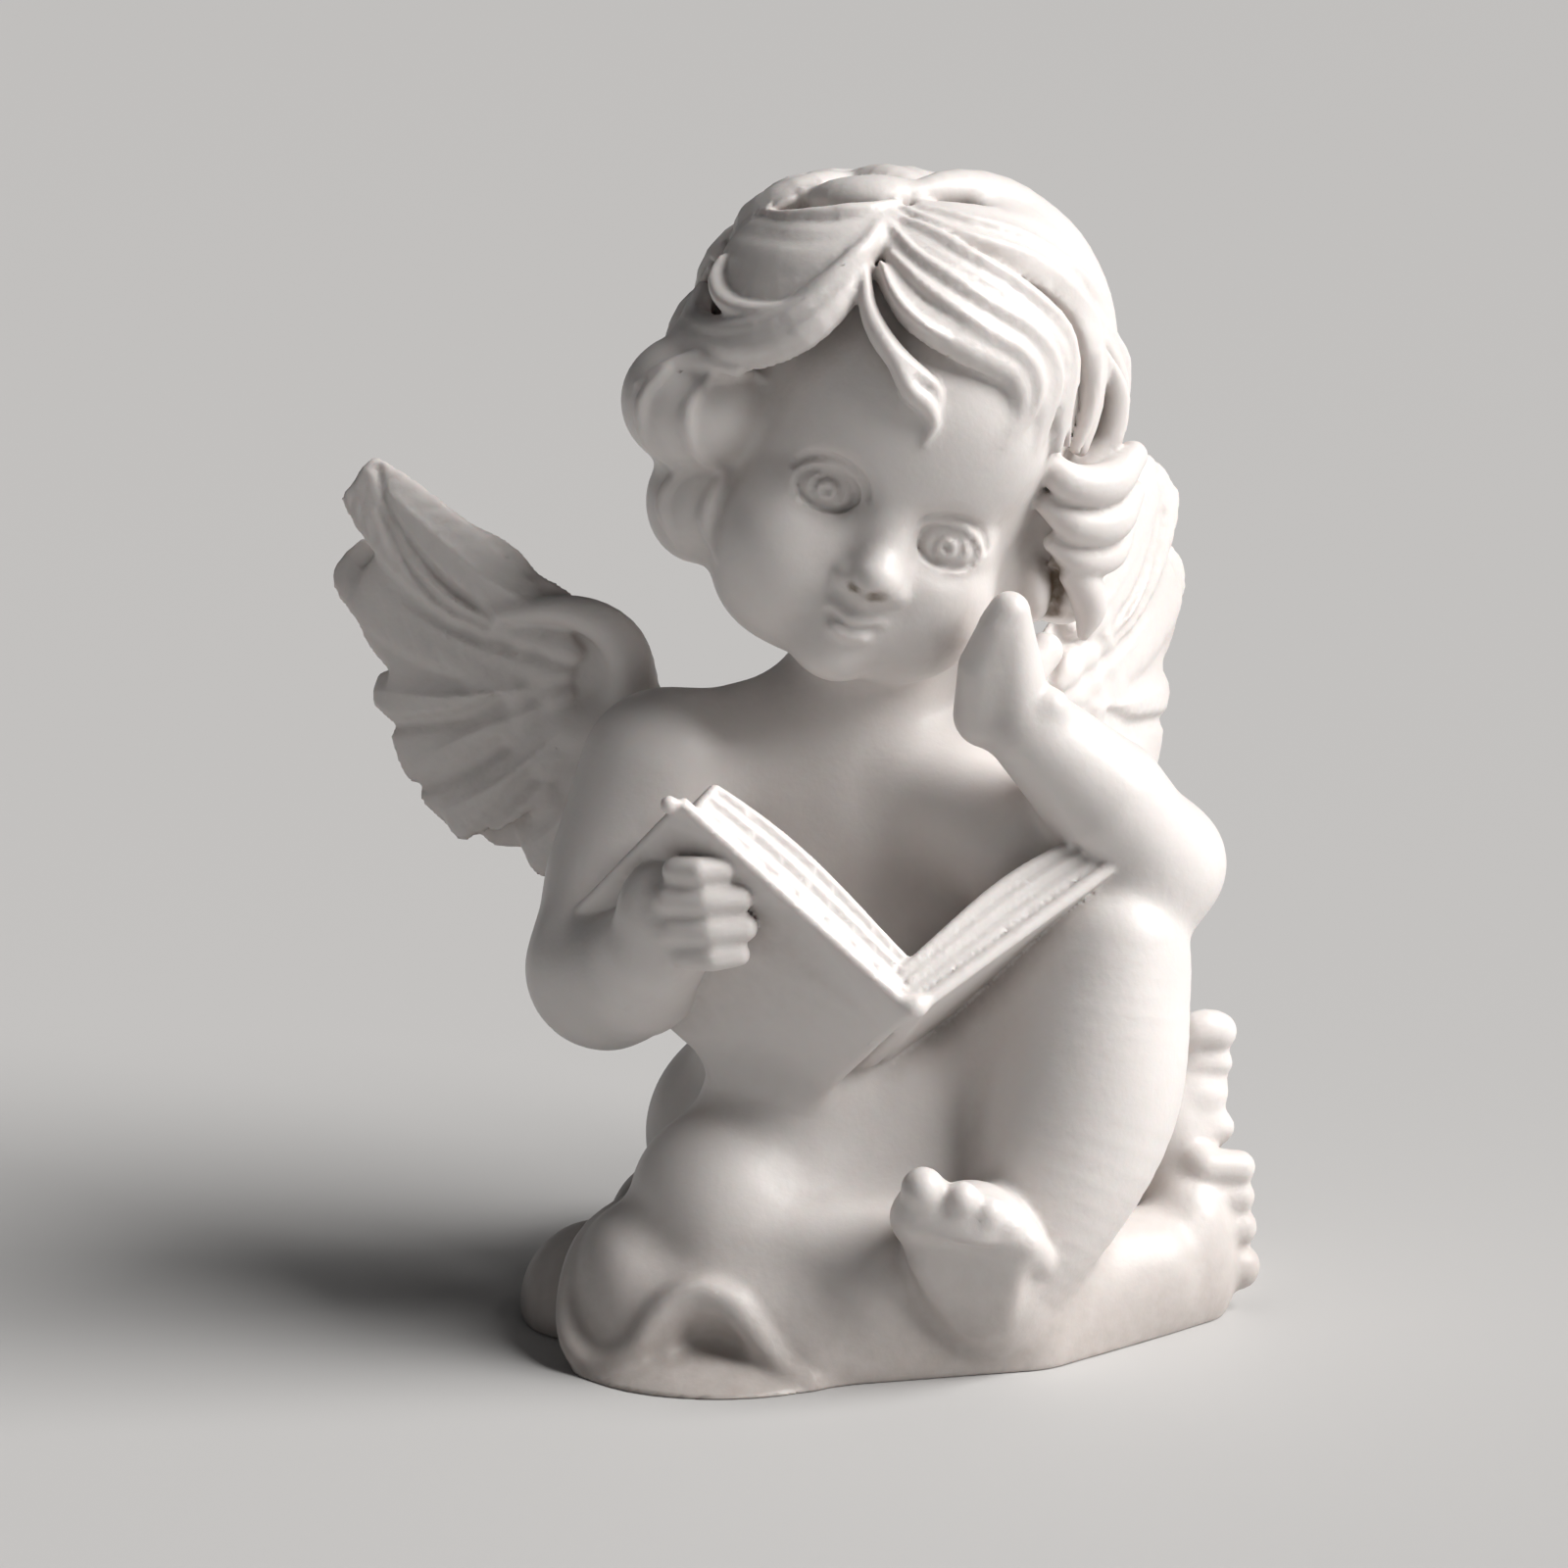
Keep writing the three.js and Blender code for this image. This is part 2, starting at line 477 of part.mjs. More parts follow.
function makeHead() {
  const onHead = (form) => placed(head, form);
  clay.add(onHead(egg([-0.8, 2.0, 4.5], [17.2, 18.8, 18.5])), 3);
  clay.add(onHead(egg([-1.5, -2.8, -8.3], [14.8, 13.4, 14.4])), 5);
  clay.add(onHead(egg([-1.0, -7.2, -14.2], [12.2, 8.2, 9.2])), 3);
  const cheeks = [[-8.6, -10.3, -11.5, 6.4], [6.6, -10.3, -12.0, 6.2], [-7.6, -7.9, -15.4, 6.9],
    [5.4, -8.2, -15.0, 6.9]];
  for (const [x, y, z, radius] of cheeks) {
    clay.add(onHead(egg([x, y, z], radius)), 3);
  }
  clay.add(onHead(egg([-0.4, -12.6, -20.2], [3.9, 3.6, 3.3])), 2.5);
  clay.add(onHead(egg([0.2, -12.6, -15.8], [4.9, 4.0, 4.0])), 2.5);
  clay.add(onHead(egg([0.0, -12.2, 4.0], [11, 5.2, 8])), 5);
  // Each eye: a socket, a lid like a thin shell with an almond opening, and the ball inside it.
  const eyeDepth = -10.8;
  const eyeRadius = 4.6;
  const lidThickness = 0.35;
  for (const [x, z] of [[-6.8, -5.0], [6.3, -6.2]]) {
    clay.cut(onHead(egg([x, -17.6, z + 0.4], [4.2, 3.0, 3.2])), 2.0);
    clay.add(onHead(egg([x, eyeDepth, z], eyeRadius + lidThickness)), 0.8);
    clay.cut(onHead(egg([x, eyeDepth - eyeRadius + 0.2, z - 0.1], [3.15, 2.2, 1.95])), 0.2);
    clay.add(onHead(egg([x, eyeDepth, z], eyeRadius)), 0.1);
  }
  clay.add(onHead(limb([[0.1, -14.0, -3.0], [0.5, -16.0, -8.4], [0.7, -17.4, -10.8]], [1.5, 2.0, 2.5])), 2.2);
  for (const side of [-1, 1]) {
    clay.add(onHead(egg([0.6 + side * 2.4, -16.0, -11.9], [1.4, 1.7, 1.3])), 0.9);
  }
  // The chip on the tip of the nose.
  clay.cut(onHead(egg([1.5, -19.4, -12.7], [1.3, 0.8, 0.8])), 0.2);
  const upperLip = smoothLine([[-2.3, -16.3, -15.3], [0.2, -16.9, -15.9], [2.7, -16.3, -15.3]], 8);
  const lowerLip = smoothLine([[-1.3, -16.0, -17.3], [0.2, -16.4, -17.7], [1.7, -16.0, -17.3]], 8);
  clay.add(onHead(limb(upperLip, 0.55)), 0.9);
  clay.add(onHead(limb(lowerLip, 0.6)), 0.9);
}

// The hair: thick wavy locks on a rounded surface. Each lock runs through marks of (turn,
// height) in degrees round the hair's centre, turn 0 in front, and rises off the surface by its
// lifts.

const HAIR_CENTRE = vec(-3.4, 2.1, 4.6);
const HAIR_RADII = vec(20.8, 21.0, 20.2);
const LOCK_STEPS = 16;

function onHair(marks, count = LOCK_STEPS) {
  const ways = marks.map(([turn, height]) => {
    const a = radians(turn);
    const e = radians(height);
    return vec(Math.sin(a) * Math.cos(e), -Math.cos(a) * Math.cos(e), Math.sin(e));
  });
  return smoothLine(ways, count).map((way) => way.normalize());
}

function lock(ways, halfWidth, height, lifts, { root = 0.45, tip = 0.2, fullest = 0.45, soft = 0.35 } = {}) {
  const line = ways.map((way, i) => {
    const at = (i / (ways.length - 1)) * (lifts.length - 1);
    const before = Math.min(Math.floor(at), lifts.length - 2);
    const lift = mix(lifts[before], lifts[before + 1], at - before);
    return way.clone().multiply(HAIR_RADII).add(HAIR_CENTRE).addScaledVector(way, lift).applyMatrix4(head);
  });
  const faces = ways.map((way) => way.clone().divide(HAIR_RADII).transformDirection(head));
  const widths = leafShares(ways.length, root, tip, fullest).map((share) => share * halfWidth);
  const heights = leafShares(ways.length, 0.8, 0.5, 0.5).map((share) => share * height);
  clay.add(stroke(line, faces, widths, heights), soft);
}

// The locks that sweep from the parting across the forehead to the right and up to the crown:
// broad bodies first, then the narrow ridges on them. Each entry is a half width and its marks.
const SWEEP_BODIES = [
  [2.4, [[-20, 38], [-8, 31], [5, 28], [17, 27], [27, 26], [33, 21], [35, 14], [31, 4]]],
  [2.4, [[-26, 47], [-12, 42], [3, 38], [20, 35], [33, 31], [40, 24], [42, 15], [42, 5]]],
  [2.6, [[-30, 54], [-13, 51], [5, 48], [24, 45], [40, 39], [50, 31], [50, 19], [52, 5]]],
  [2.8, [[-32, 60], [-4, 59], [26, 59], [52, 54], [66, 46], [70, 33], [70, 18], [68, 4]]],
  [3.2, [[-28, 65], [0, 69], [40, 69], [70, 62], [86, 51], [91, 38], [88, 24]]],
  [2.4, [[70, 52], [82, 44], [86, 32], [84, 18], [80, 4]]],
];
const SWEEP_RIDGES = [
  [0.7, [[-23, 39], [-14, 32], [-6, 28], [4, 26], [14, 26]]],
  [1.0, [[-22, 43], [-8, 38], [6, 34], [17, 31], [27, 29], [34, 25], [37, 19], [36, 12], [31, 4]]],
  [1.0, [[-29, 51], [-15, 46], [-1, 43], [14, 39], [29, 36], [39, 31], [44, 24], [44, 16], [45, 6]]],
  [1.0, [[-31, 55], [-13, 55], [3, 52], [20, 49], [35, 44], [47, 38], [51, 29], [51, 18], [57, 6]]],
  [1.1, [[-32, 59], [-7, 58], [14, 58], [37, 57], [56, 50], [68, 41], [67, 30], [66, 16], [64, 4]]],
  [1.1, [[-25, 63], [-1, 65], [30, 65], [58, 59], [78, 50], [88, 38], [87, 28], [85, 15], [82, 4]]],
];
const CROWN_MARKS = [[-45, 69], [-40, 83], [118, 77], [106, 66], [99, 56], [95, 45], [92, 34], [90, 22]];
const FRINGE = [
  [1.2, [[-26, 35], [-20, 27], [-13, 21], [-6, 17], [0, 15], [7, 13], [10, 8]]],
  [1.1, [[-13, 21], [-6, 16], [1, 10], [6, 8], [10, 4], [10, -3]]],
];
// Two narrow strands that hang proud over the right ear.
const EAR_STRANDS = [[[74, 30], [78, 20], [77, 9], [72, -1]], [[84, 36], [95, 26], [97, 14], [92, 2]]];

function makeSweep() {
  for (const [halfWidth, marks] of SWEEP_BODIES) {
    lock(onHair(marks), halfWidth, 1.5, [-0.5, 0.2, 0.3, 0.0],
      { root: 0.5, tip: 0.25, fullest: 0.55, soft: 0.6 });
  }
  lock(onHair(CROWN_MARKS, 20), 3.5, 2.2, [-0.4, 0.8, 1.1, 0.8, 0.4],
    { root: 0.4, tip: 0.4, fullest: 0.5, soft: 0.8 });
  lock(onHair([[78, 34], [90, 22], [91, 10], [86, -2]]), 2.4, 2.0, [0.2, 1.0, 1.4, 0.8]);
  for (const [halfWidth, marks] of SWEEP_RIDGES) {
    lock(onHair(marks, 20), halfWidth, 1.3, [0.1, 0.8, 0.9, 0.7, -0.1], { root: 0.5, tip: 0.35, soft: 0.4 });
  }
  for (const [halfWidth, marks] of FRINGE) {
    lock(onHair(marks), halfWidth, 1.4, [0.1, 0.1, -0.2, -0.6], { tip: 0.35 });
  }
  for (const marks of EAR_STRANDS) {
    lock(onHair(marks), 1.1, 1.4, [0.6, 1.8, 2.0, 0.8], { tip: 0.4, soft: 0.5 });
  }
}

// Left of the parting: the top roll, the large wave with its flick, and the wave below.
function makeWaves() {
  lock(onHair([[-48, 72], [-54, 64], [-62, 57], [-74, 50], [-90, 44]]), 2.8, 2.0, [-0.5, 0.0, 0.0, -0.6]);
  lock(onHair([[-36, 54], [-38, 43], [-46, 34], [-58, 28], [-76, 24], [-94, 22]]), 4.6, 2.2,
    [-0.5, -0.2, 0.0, 0.0, -0.2], { root: 0.4, tip: 0.6, fullest: 0.6, soft: 0.6 });
  lock(onHair([[-34, 42], [-39, 30], [-49, 20], [-62, 15], [-80, 14]]), 3.4, 1.8, [-0.6, -0.4, -0.2, -0.4],
    { tip: 0.6, soft: 0.8 });
  lock(onHair([[-39, 60], [-42, 51], [-53, 42], [-68, 35], [-94, 30]]), 1.1, 1.5, [0.0, 1.0, 1.0, 0.4]);
  lock(onHair([[-36, 52], [-31, 43], [-31, 36], [-33, 28], [-37, 21], [-41, 15]]), 1.2, 1.6,
    [0.0, 0.7, 0.8, 0.6], { tip: 0.5 });
  lock(onHair([[-34, 24], [-38, 17], [-45, 12], [-54, 9], [-63, 9], [-71, 12], [-74, 17]]), 1.1, 1.5,
    [0.6, 1.0, 1.3, 1.5], { tip: 0.4 });
  const lowest = [[-29, 36], [-30, 27], [-33, 17], [-40, 8], [-51, 1], [-65, -3], [-82, -3], [-94, 4]];
  lock(onHair(lowest), 3.0, 2.2, [-0.4, 0.5, 0.8, 0.6, 0.2]);
  // Two soft lobes below the waves cover the ear.
  clay.add(egg([-19.0, -5.0, 95.2], [7.8, 8.5, 7.0]), 2.5);
  clay.add(egg([-18.9, -2.5, 84.6], [5.5, 8.0, 6.2]), 2.5);
}

// Right of the face: a soft mass over the ear, short curls one below another on it, a hanging
// lock, and the ear lobe with a narrow gap behind it.
function makeCurls() {
  clay.add(egg([18.6, -1.0, 84.0], [5.6, 6.6, 7.6]), 2.0);
  clay.add(egg([17.6, -1.0, 76.4], [3.6, 5.4, 4.6]), 2.0);
  clay.add(egg([12.0, -2.6, 77.6], [4.6, 5.0, 6.4]), 2.0);
  const curls = [
    [[[14.8, -9.6, 90.4], [18.0, -9.6, 87.6], [21.8, -7.2, 87.2], [24.4, -3.8, 89.4]], [1.2, 2.0, 2.2, 1.6]],
    [[[15.6, -9.0, 85.4], [18.8, -8.8, 83.2], [22.2, -6.6, 83.2], [24.3, -3.2, 85.6]], [1.2, 1.9, 2.1, 1.5]],
    [[[16.4, -8.4, 81.4], [19.2, -7.8, 79.6], [22.0, -5.6, 79.8], [23.6, -2.6, 81.8]], [1.1, 1.7, 1.8, 1.3]],
    [[[17.2, -7.4, 79.4], [19.4, -6.8, 77.0], [20.2, -6.2, 74.4], [19.6, -6.0, 71.6]], [1.3, 1.9, 1.7, 0.7]],
  ];
  for (const [line, radii] of curls) {
    clay.add(roundLimb(line, radii), 0.5);
  }
  clay.add(egg([14.7, -5.6, 76.4], [1.8, 2.8, 3.4]), 0.6);
  clay.cut(limb([[16.0, -8.6, 79.8], [16.9, -8.4, 77.0], [16.4, -8.0, 73.8]], 0.6), 0.4);
}

// Behind: rows of plain curls from the crown to the nape. Each row is its height, how far its
// curls drop, and their half width.
const BACK_ROWS = [[52, 30, 4.6], [26, 30, 4.4], [0, 28, 4.2], [-24, 22, 3.8]];

function makeHair() {
  clay.add(placed(head, egg([-3.2, 5.4, 5.6], [19.4, 18.0, 18.4])), 0.8);
  clay.add(placed(head, egg([-3.0, 10.0, -6.0], [17.0, 11.5, 13.0])), 3.0);
  makeSweep();
  makeWaves();
  makeCurls();
  BACK_ROWS.forEach(([height, drop, halfWidth], row) => {
    for (let turn = 104 + 14 * (row % 2); turn < 262; turn += 28) {
      const marks = [[turn - 8, height], [turn + 6, height - 0.35 * drop], [turn + 4, height - 0.75 * drop],
        [turn - 8, height - drop]];
      lock(onHair(marks, 12), halfWidth, 2.0, [-0.6, 0.5, 0.6, -0.2], { tip: 0.3 });
    }
  });
}

makeSeat();
makeBody();
makeFoldedLeg();
makeRaisedLeg();
makeCloth();
makeLeftArm();
makeRightArm();
makeBook();
makeWing(-1, 15.5, 0, [-25.7, 8.0, 64.8], 7);
makeWing(1, 51.0, 4, [13.0, 14.0, 59.6], 4);
makeHead();
makeHair();
clay.coat(COAT);
const belowGround = { box: new THREE.Box3(vec(-80, -80, -20), vec(80, 80, 0)), distance: (p) => p.z };
clay.cut(belowGround, 0);

// The surface: drawn round the clay, then thinned by collapsing the edge that changes the
// shape least, again and again, until FACETS triangles are left.

// The clay's outer surface. Sealed bubbles between the forms are left out, and so is any crumb.
function drawSurface() {
  const clearOfGrid = 0.02;
  const sameCorner = 1e-5;
  const field = clay.cubes.field;
  for (let i = 0; i < field.length; i++) {
    if (Math.abs(field[i]) < clearOfGrid) {
      field[i] = field[i] < 0 ? -clearOfGrid : clearOfGrid;
    }
  }
  clay.cubes.update();
  const used = clay.cubes.positionArray.slice(0, clay.cubes.count * 3);
  const loose = new THREE.BufferGeometry();
  loose.setAttribute('position', new THREE.BufferAttribute(used, 3));
  const joined = mergeVertices(loose, sameCorner);
  joined.scale(SPAN / 2, SPAN / 2, SPAN / 2);
  joined.translate(MIDDLE.x, MIDDLE.y, MIDDLE.z);
  const index = joined.getIndex().array;
  const leader = Array.from({ length: joined.getAttribute('position').count }, (_, i) => i);
  const find = (v) => {
    while (leader[v] !== v) {
      leader[v] = leader[leader[v]];
      v = leader[v];
    }
    return v;
  };
  for (let i = 0; i < index.length; i += 3) {
    leader[find(index[i])] = find(index[i + 1]);
    leader[find(index[i + 1])] = find(index[i + 2]);
  }
  const sizes = new Map();
  index.forEach((v) => sizes.set(find(v), (sizes.get(find(v)) ?? 0) + 1));
  const outer = [...sizes].reduce((best, entry) => (entry[1] > best[1] ? entry : best))[0];
  joined.setIndex(Array.from(index).filter((v) => find(v) === outer));
  return joined;
}

// A queue that gives back its cheapest entry first.
class Queue {
  constructor() {
    this.items = [];
  }

  push(item) {
    const items = this.items;
    let i = items.push(item) - 1;
    while (i > 0) {
      const parent = (i - 1) >> 1;
      if (items[parent].cost <= item.cost) {
        break;
      }
      items[i] = items[parent];
      i = parent;
    }
    items[i] = item;
  }

  pop() {
    const items = this.items;
    const top = items[0];
    const last = items.pop();
    if (items.length === 0) {
      return top;
    }
    let i = 0;
    for (;;) {
      let child = 2 * i + 1;
      if (child >= items.length) {
        break;
      }
      if (child + 1 < items.length && items[child + 1].cost < items[child].cost) {
        child += 1;
      }
      if (items[child].cost >= last.cost) {
        break;
      }
      items[i] = items[child];
      i = child;
    }
    items[i] = last;
    return top;
  }
}

// The summed squared distance to a set of planes, as the upper half of a symmetric 4x4 matrix.
function addPlane(sums, normal, offset, weight) {
  const v = [normal.x, normal.y, normal.z, offset];
  let n = 0;
  for (let i = 0; i < 4; i++) {
    for (let j = i; j < 4; j++) {
      sums[n] += weight * v[i] * v[j];
      n += 1;
    }
  }
}

function planeError(s, p) {
  return s[0] * p.x * p.x + s[4] * p.y * p.y + s[7] * p.z * p.z + s[9]
    + 2 * (s[1] * p.x * p.y + s[2] * p.x * p.z + s[5] * p.y * p.z + s[3] * p.x + s[6] * p.y + s[8] * p.z);
}

function thinned(geometry, target) {
  const points = [];
  const position = geometry.getAttribute('position');
  for (let i = 0; i < position.count; i++) {
    points.push(vec(0, 0, 0).fromBufferAttribute(position, i));
  }
  const triangles = [];
  const around = points.map(() => new Set());
  const index = geometry.getIndex().array;
  for (let i = 0; i < index.length; i += 3) {
    const [a, b, c] = [index[i], index[i + 1], index[i + 2]];
    if (a !== b && b !== c && c !== a) {
      [a, b, c].forEach((v) => around[v].add(triangles.length));
      triangles.push([a, b, c]);
    }
  }
  const face = new THREE.Triangle();
  const normalOf = ([a, b, c], out) => face.set(points[a], points[b], points[c]).getNormal(out);
  const sums = points.map(() => new Array(10).fill(0));
  const normal = vec(0, 0, 0);
  for (const corners of triangles) {
    normalOf(corners, normal);
    const weight = face.getArea();
    const offset = -normal.dot(points[corners[0]]);
    corners.forEach((v) => addPlane(sums[v], normal, offset, weight));
  }
  // A faint pull towards the old places keeps the facets well shaped where the surface is flat.
  const pull = 0.002;
  points.forEach((p, v) => {
    for (const [axis, way] of [['x', vec(1, 0, 0)], ['y', vec(0, 1, 0)], ['z', vec(0, 0, 1)]]) {
      addPlane(sums[v], way, -p[axis], pull);
    }
  });
  const neighbours = (v) => new Set([...around[v]].flatMap((t) => triangles[t]).filter((w) => w !== v));
  const version = new Uint32Array(points.length);
  const queue = new Queue();
  const solver = new THREE.Matrix3();
  const offer = (a, b) => {
    const s = sums[a].map((value, i) => value + sums[b][i]);
    solver.set(s[0], s[1], s[2], s[1], s[4], s[5], s[2], s[5], s[7]);
    const middle = points[a].clone().lerp(points[b], 0.5);
    const choices = [points[a].clone(), points[b].clone(), middle];
    if (Math.abs(solver.determinant()) > 1e-9) {
      const best = vec(-s[3], -s[6], -s[8]).applyMatrix3(solver.invert());
      if (best.distanceTo(middle) < points[a].distanceTo(points[b])) {
        choices.push(best);
      }
    }
    const errors = choices.map((p) => planeError(s, p));
    const least = errors.indexOf(Math.min(...errors));
    queue.push({ cost: errors[least], a, b, place: choices[least], stamp: version[a] + version[b] });
  };
  const next = vec(0, 0, 0);
  const flips = (v, other, place) => [...around[v]].some((t) => {
    const corners = triangles[t];
    if (corners.includes(other)) {
      return false;
    }
    normalOf(corners, normal);
    const [p, q, r] = corners.map((w) => (w === v ? place : points[w]));
    face.set(p, q, r).getNormal(next);
    const longest = Math.max(p.distanceToSquared(q), q.distanceToSquared(r), r.distanceToSquared(p));
    return next.dot(normal) < 0.3 || face.getArea() < 0.02 * longest;
  });
  points.forEach((_, v) => neighbours(v).forEach((w) => w > v && offer(v, w)));
  let left = triangles.length;
  while (left > target && queue.items.length > 0) {
    const { a, b, place, stamp } = queue.pop();
    if (around[a].size === 0 || around[b].size === 0 || stamp !== version[a] + version[b]) {
      continue;
    }
    const ofB = neighbours(b);
    const shared = [...neighbours(a)].filter((v) => ofB.has(v));
    if (!ofB.has(a) || shared.length !== 2 || flips(a, b, place) || flips(b, a, place)) {
      continue;
    }
    for (const t of [...around[b]]) {
      const corners = triangles[t];
      if (corners.includes(a)) {
        corners.forEach((v) => around[v].delete(t));
        left -= 1;
      } else {
        corners[corners.indexOf(b)] = a;
        around[a].add(t);
      }
    }
    around[b].clear();
    points[a] = place;
    sums[a] = sums[a].map((value, i) => value + sums[b][i]);
    version[a] += 1;
    neighbours(a).forEach((v) => offer(a, v));
  }
  return { points, triangles: triangles.filter((corners, t) => around[corners[0]].has(t)) };
}

// Writes the kept triangles into a new geometry, with the underside exactly flat.
function facetGeometry({ points, triangles }) {
  const order = new Map();
  const places = [];
  const faces = triangles.map((corners) => corners.map((v) => {
    if (!order.has(v)) {
      order.set(v, order.size);
      const { x, y, z } = points[v];
      places.push(x, y, Math.abs(z) < 0.02 ? 0 : z);
    }
    return order.get(v);
  }));
  const geometry = new THREE.BufferGeometry();
  geometry.setAttribute('position', new THREE.Float32BufferAttribute(places, 3));
  geometry.setIndex(faces.flat());
  return geometry;
}

const figurine = new THREE.Mesh(
  facetGeometry(thinned(drawSurface(), FACETS)),
  new THREE.MeshStandardMaterial({ color: 0xe6dfd9, roughness: 0.5, metalness: 0 }),
);
figurine.name = 'cherub_figurine';

const group = new THREE.Group();
group.add(figurine);

export default group;
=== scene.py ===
import json
import math
import bpy
import numpy as np
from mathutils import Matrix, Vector

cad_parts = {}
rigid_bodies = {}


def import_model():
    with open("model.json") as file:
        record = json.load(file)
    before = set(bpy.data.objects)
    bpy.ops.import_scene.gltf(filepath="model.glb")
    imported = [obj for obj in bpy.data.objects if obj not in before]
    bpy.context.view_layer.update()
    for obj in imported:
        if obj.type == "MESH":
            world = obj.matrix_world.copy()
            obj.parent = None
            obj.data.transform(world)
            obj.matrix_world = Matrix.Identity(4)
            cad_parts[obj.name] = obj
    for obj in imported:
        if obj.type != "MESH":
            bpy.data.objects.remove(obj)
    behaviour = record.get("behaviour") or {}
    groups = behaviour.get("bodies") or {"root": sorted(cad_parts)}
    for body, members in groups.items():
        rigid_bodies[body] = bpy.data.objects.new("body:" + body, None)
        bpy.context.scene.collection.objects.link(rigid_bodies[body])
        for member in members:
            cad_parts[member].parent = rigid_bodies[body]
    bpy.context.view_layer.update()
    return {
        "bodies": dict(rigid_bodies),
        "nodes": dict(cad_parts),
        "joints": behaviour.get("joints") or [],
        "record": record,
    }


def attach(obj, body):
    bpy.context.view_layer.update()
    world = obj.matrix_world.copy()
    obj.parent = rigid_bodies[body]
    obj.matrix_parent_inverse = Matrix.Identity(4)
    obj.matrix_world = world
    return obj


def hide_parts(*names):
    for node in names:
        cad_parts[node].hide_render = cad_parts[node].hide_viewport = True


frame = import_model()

# The modelling clay.
# The figurine is modelled as one mass of clay and cast from it in one pour. The clay is kept
# as a grid of distances to its surface, in millimetres: negative inside, positive outside.
GRAIN = 0.35
CLAY_LOW = (-62.0, -39.0, -3.0)
CLAY_HIGH = (42.0, 47.0, 124.0)
OUT_OF_REACH = 50.0


def vec(*numbers):
    return np.array(numbers, float)


def unit(direction):
    direction = np.asarray(direction, float)
    return direction / np.linalg.norm(direction)


